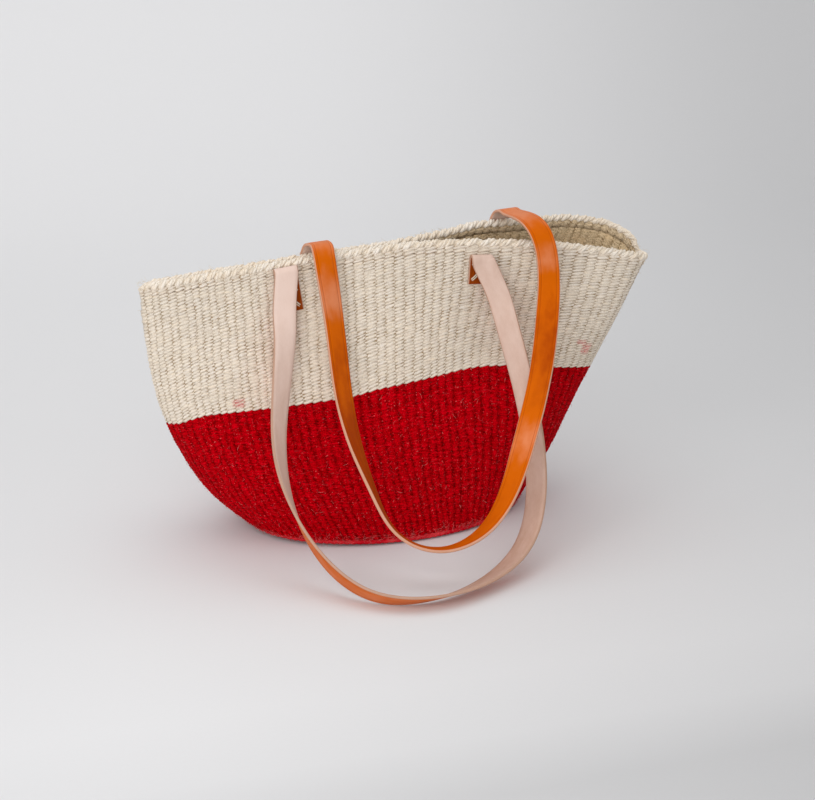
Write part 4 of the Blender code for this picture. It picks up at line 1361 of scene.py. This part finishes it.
class WeaveRed(bpy.types.Operator):
    """Weave the red lower wall"""

    bl_idname = "kiondo.weave_red"
    bl_label = "Red wall"

    def execute(self, context):
        w, c = context.scene.kiondo_weave, context.scene.kiondo_colours
        item = woven_band("red_weave", flat_level(foot_share), colour_line, w.red_rows, w.ribs,
                          w.relief * red_relief_share, w.slant, seed=11, rib_share=0.5)
        finish = sisal("red_twined_sisal", light=tuple(c.red), pale=(0.78, 0.0, 0.008),
                       deep=(0.13, 0.0, 0.0), warm=(0.70, 0.0, 0.012), slant=w.slant, gap_shade_share=0.36,
                       side_shade_share=0.44, fuzz_share=0.9, side_shade_width=0.72, fleck=(0.88, 0.24, 0.22))
        # Inner faces: a darker copy of the red, painted shade of the basket's inside.
        inner = sisal("red_inner_shaded_sisal", light=(0.36, 0.0, 0.003), pale=(0.5, 0.0, 0.006),
                      deep=(0.10, 0.0, 0.0), warm=(0.4, 0.0, 0.006), slant=w.slant, gap_shade_share=0.5,
                      side_shade_share=0.4, fuzz_share=0.6)
        place_on(item, "basket", (finish, inner), "red_sisal", "red_wall")
        return {"FINISHED"}


class WeaveNatural(bpy.types.Operator):
    """Weave the natural upper wall"""

    bl_idname = "kiondo.weave_natural"
    bl_label = "Natural wall"

    def execute(self, context):
        w, c = context.scene.kiondo_weave, context.scene.kiondo_colours
        item = woven_band("natural_weave", colour_line, flat_level(1 - braid_share), w.natural_rows,
                          w.ribs, w.relief, w.slant, seed=12)
        finish = sisal("natural_twined_sisal", light=tuple(c.natural), pale=(0.98, 0.91, 0.83),
                       deep=(0.36, 0.24, 0.12), warm=(0.90, 0.74, 0.54), slant=w.slant, gap_shade_share=1.08,
                       side_shade_share=0.14, fuzz_share=0.36, strays=stray_marks)
        # Inner faces: a darker, browner copy of the natural sisal, painted shade of the basket's inside.
        inner = sisal("natural_inner_shaded_sisal", light=(0.72, 0.53, 0.32), pale=(0.86, 0.69, 0.46),
                      deep=(0.28, 0.17, 0.07), warm=(0.72, 0.49, 0.26), slant=w.slant, gap_shade_share=0.6,
                      side_shade_share=0.25, fuzz_share=0.8)
        place_on(item, "basket", (finish, inner), "cream_sisal", "natural_wall")
        return {"FINISHED"}


class BraidRim(bpy.types.Operator):
    """Braid the rim over one coarser row"""

    bl_idname = "kiondo.braid_rim"
    bl_label = "Rim"

    def execute(self, context):
        w, natural = context.scene.kiondo_weave, tuple(context.scene.kiondo_colours.natural)
        row = woven_band("rim_row", flat_level(1 - braid_share), flat_level(1 - braid_share * rim_row_share),
                         2, w.ribs, rim_row_relief, w.slant, seed=13, thick=rim_row_thickness)
        outer = sisal("rim_row_sisal", light=natural, pale=(0.98, 0.91, 0.83), deep=(0.38, 0.24, 0.12),
                      warm=(0.88, 0.73, 0.54), slant=w.slant, gap_shade_share=1.0, side_shade_share=0.2,
                      fuzz_share=0.32)
        # Inner faces: a darker, browner copy of the natural sisal, painted shade of the mouth's inside.
        inner = sisal("rim_inner_shaded_sisal", light=(0.74, 0.57, 0.37), pale=(0.88, 0.72, 0.51),
                      deep=(0.28, 0.17, 0.07), warm=(0.74, 0.53, 0.30), slant=w.slant, gap_shade_share=0.6,
                      side_shade_share=0.25, fuzz_share=0.8)
        place_on(row, "basket", (outer, inner), "rim_cream")
        core = twisted_sisal("rim_core_sisal", natural, (0.84, 0.76, 0.63), (0.40, 0.29, 0.17), 260.0)
        place_on(rim_core(), "basket", core, "rim_cream")
        strands = twisted_sisal("rim_plait_sisal", natural, (0.93, 0.87, 0.79), (0.50, 0.38, 0.25), 260.0)
        place_on(rim_plait(w.ribs), "basket", strands, "rim_cream", "rim_braid")
        return {"FINISHED"}


class TwistRidge(bpy.types.Operator):
    """Twist the raised cord round the foot"""

    bl_idname = "kiondo.twist_ridge"
    bl_label = "Ridge"

    def execute(self, context):
        finish = twisted_sisal("ridge_sisal", (0.62, 0.004, 0.016), (0.88, 0.07, 0.08),
                               (0.20, 0.0, 0.002), 6.0, 0.5)
        item = foot_ridge(context.scene.kiondo_weave.ribs)
        place_on(item, "basket", finish, "ridge_red", "base_ridge")
        return {"FINISHED"}


class WeaveBase(bpy.types.Operator):
    """Weave the oval base in rings"""

    bl_idname = "kiondo.weave_base"
    bl_label = "Base"

    def execute(self, context):
        finish = sisal("base_twined_sisal", light=(0.40, 0.0, 0.003), pale=(0.56, 0.0, 0.008),
                       deep=(0.12, 0.0, 0.0), warm=(0.5, 0.0, 0.006), slant=0.4, gap_shade_share=0.8,
                       side_shade_share=0.4, fuzz_share=0.6, side_shade_width=0.4, fleck=(0.8, 0.2, 0.16))
        item = base_weave(context.scene.kiondo_weave.ribs)
        place_on(item, "basket", finish, "base_red", "woven_base")
        return {"FINISHED"}


class LooseFibres(bpy.types.Operator):
    """Scatter loose fibres over the weave and the ridge"""

    bl_idname = "kiondo.loose_fibres"
    bl_label = "Loose fibres"

    def execute(self, context):
        w = context.scene.kiondo_weave
        pale = plain_thread("pale_fibre", (0.84, 0.36, 0.31), (0.62, 0.09, 0.08))
        red = plain_thread("red_fibre", (0.80, 0.05, 0.06), (0.50, 0.004, 0.012))
        foot = plain_thread("foot_fibre", (0.86, 0.20, 0.19), (0.58, 0.01, 0.02))
        cream = plain_thread("cream_fibre", (0.88, 0.82, 0.70), (0.62, 0.52, 0.38))
        # Name, number, lowest and highest level, reach, seed, finish and slot
        kinds = (
            ("pale_fibres", w.fibres // 11, flat_level(0.04), colour_line, 0.0075, 41, pale, "red_sisal"),
            ("red_fibres", w.fibres, flat_level(0.02), colour_line, 0.007, 42, red, "red_sisal"),
            ("foot_fibres", w.fibres * 2 // 3, flat_level(0.0), flat_level(0.03), 0.008, 43, foot,
             "ridge_red"),
            ("natural_fibres", w.fibres, colour_line, flat_level(0.97), 0.007, 44, cream, "cream_sisal"),
            ("rim_fibres", w.fibres, flat_level(0.97), flat_level(1.0), 0.006, 45, cream, "rim_cream"),
        )
        for name, count, low, high, reach, seed, finish, slot_name in kinds:
            place_on(loose_fibres(name, count, low, high, reach, seed), "basket", finish, slot_name)
        return {"FINISHED"}


class CutStraps(bpy.types.Operator):
    """Cut the two leather straps and sew on their ends"""

    bl_idname = "kiondo.cut_straps"
    bl_label = "Straps"

    def execute(self, context):
        c = context.scene.kiondo_colours
        thread = plain_thread("waxed_thread", tuple(c.thread), (0.60, 0.48, 0.34))
        tan, raw = tuple(c.tan), tuple(c.raw)
        # Side, route, face, body, and two distances before and after the axis; the body and the distances are
        # left unused
        kinds = (("front", front_path(), -1, "front_strap", 0.0007, 0.0017),
                 ("rear", rear_path(), 1, "rear_strap", 0.0055, 0.0055))
        for side, (path, first, last, forward, marks), face, body, before, after in kinds:
            look = strap_looks[side]
            item, length = make_strap(side + "_strap_leather", path, face)
            smooth = smooth_leather(side + "_smooth_leather", tan, look["brown"], sheen_and_scuff_leather,
                                    length, look["tones"])
            flesh = raw_leather(side + "_raw_leather", raw, handled_and_shaded_leather, length, look["wear_and_shade"])
            edge = cut_edge(side + "_cut_edge", *look["edge"])
            place_on(item, None, (smooth, flesh, edge), "tan_leather", side + "_handle",
                     side + "_handle_left_end", side + "_handle_right_end")
            axis = unit(last - first)
            forward = unit(forward - axis * (forward @ axis))
            middle = (first + last) / 2
            tuple(middle - forward * before)
            tuple(middle + forward * after)
            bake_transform(item)
            for place, (centre, across, up, out) in zip(("left", "right"), marks):
                self.sew(side, place, centre, across, up, out, thread)
        return {"FINISHED"}

    def sew(self, side, place, centre, across, up, out, thread):
        """Two crossed double stitches. Each strand is a low arch from hole to hole, s from
        -1 to 1: thread x (0.55 x (1 - s^8) - 0.9 x s^8), and the upper pair rises over the
        lower by 0.9 x thread x exp(-(s / 0.22)^2)."""
        half = strap_width * stitch_share
        s = np.linspace(-1.0, 1.0, 15)
        paths = []
        for lean, gap, rise in ((1, -0.7, 0.0), (1, 0.7, 0.0), (-1, -0.7, 0.9), (-1, 0.7, 0.9)):
            shift = gap * thread_width * np.array([1.0, -lean]) / np.sqrt(2)
            x = s * half * stitch_hole_share + shift[0]
            y = s * half * stitch_hole_share * lean + shift[1]
            arch = (1 - s**8) * (thread_width * 0.55) - (s**8) * thread_width * 0.9
            arch = arch + rise * thread_width * np.exp(-(s / 0.22) ** 2)
            height = strap_thickness / 2 + arch
            paths.append(centre + across * x[:, None] + up * y[:, None] + out * height[:, None])
        paths = np.array(paths)
        radius = np.full(paths.shape[:2], thread_width * 0.5)
        item = add_tubes("%s_%s_thread" % (side, place), paths, np.broadcast_to(out, paths.shape),
                         radius, radius, 8)
        place_on(item, "basket", thread, "waxed_thread", "%s_%s_stitch" % (side, place))


class SetStage(bpy.types.Operator):
    """Lay the paper sweep and set the lights and the camera"""

    bl_idname = "kiondo.set_stage"
    bl_label = "Stage"

    def execute(self, context):
        stage, scene = context.scene.kiondo_stage, context.scene
        floor = paper_sweep()
        floor.data.materials.append(backdrop_paper("sweep_paper", sweep_light_tones))
        world = bpy.data.worlds.new("studio")
        world.use_nodes = True
        world.node_tree.nodes["Background"].inputs["Color"].default_value = (1.0, 1.0, 1.0, 1.0)
        world.node_tree.nodes["Background"].inputs["Strength"].default_value = stage.fill
        scene.world = world
        for name, place, aim, size, power in lamps:
            lamp = bpy.data.lights.new(name, "AREA")
            lamp.shape, lamp.size, lamp.energy = "SQUARE", size, stage.key * power
            holder = bpy.data.objects.new(name, lamp)
            scene.collection.objects.link(holder)
            holder.location = place
            holder.rotation_euler = (Vector(aim) - Vector(place)).to_track_quat("-Z", "Y").to_euler()
        camera = bpy.data.cameras.new("camera")
        camera.lens, camera.sensor_width = stage.lens, 36.0
        camera.clip_start, camera.clip_end = 0.05, 30.0
        holder = bpy.data.objects.new("camera", camera)
        scene.collection.objects.link(holder)
        a, e = stage.azimuth, stage.elevation
        back = Vector((np.sin(a) * np.cos(e), -np.cos(a) * np.cos(e), np.sin(e)))
        holder.location = Vector(camera_aim) + back * stage.distance
        holder.rotation_euler = (-back).to_track_quat("-Z", "Y").to_euler()
        scene.camera = holder
        scene.view_settings.view_transform = "Standard"
        return {"FINISHED"}


class KiondoPanel(bpy.types.Panel):
    """Panel in the sidebar with the basket's sizes, colours and pieces"""

    bl_idname = "VIEW3D_PT_kiondo"
    bl_label = "Kiondo basket"
    bl_space_type = "VIEW_3D"
    bl_region_type = "UI"
    bl_category = "Kiondo"

    def draw(self, context):
        scene = context.scene
        for group in (scene.kiondo_weave, scene.kiondo_colours, scene.kiondo_stage):
            for key in type(group).__annotations__:
                self.layout.prop(group, key)
        for piece in pieces:
            self.layout.operator(piece.bl_idname)


pieces = (WeaveRed, WeaveNatural, BraidRim, TwistRidge, WeaveBase, LooseFibres, CutStraps, SetStage)
groups = (("kiondo_weave", KiondoWeave), ("kiondo_colours", KiondoColours), ("kiondo_stage", KiondoStage))


def register():
    for name, group in groups:
        bpy.utils.register_class(group)
        setattr(bpy.types.Scene, name, PointerProperty(type=group))
    for entry in (*pieces, KiondoPanel):
        bpy.utils.register_class(entry)


def unregister():
    for entry in reversed((*pieces, KiondoPanel)):
        bpy.utils.unregister_class(entry)
    for name, group in reversed(groups):
        delattr(bpy.types.Scene, name)
        bpy.utils.unregister_class(group)


def main():
    register()
    for piece in pieces:
        family, name = piece.bl_idname.split(".")
        getattr(getattr(bpy.ops, family), name)()
    bpy.context.view_layer.update()


if __name__ == "__main__":
    main()
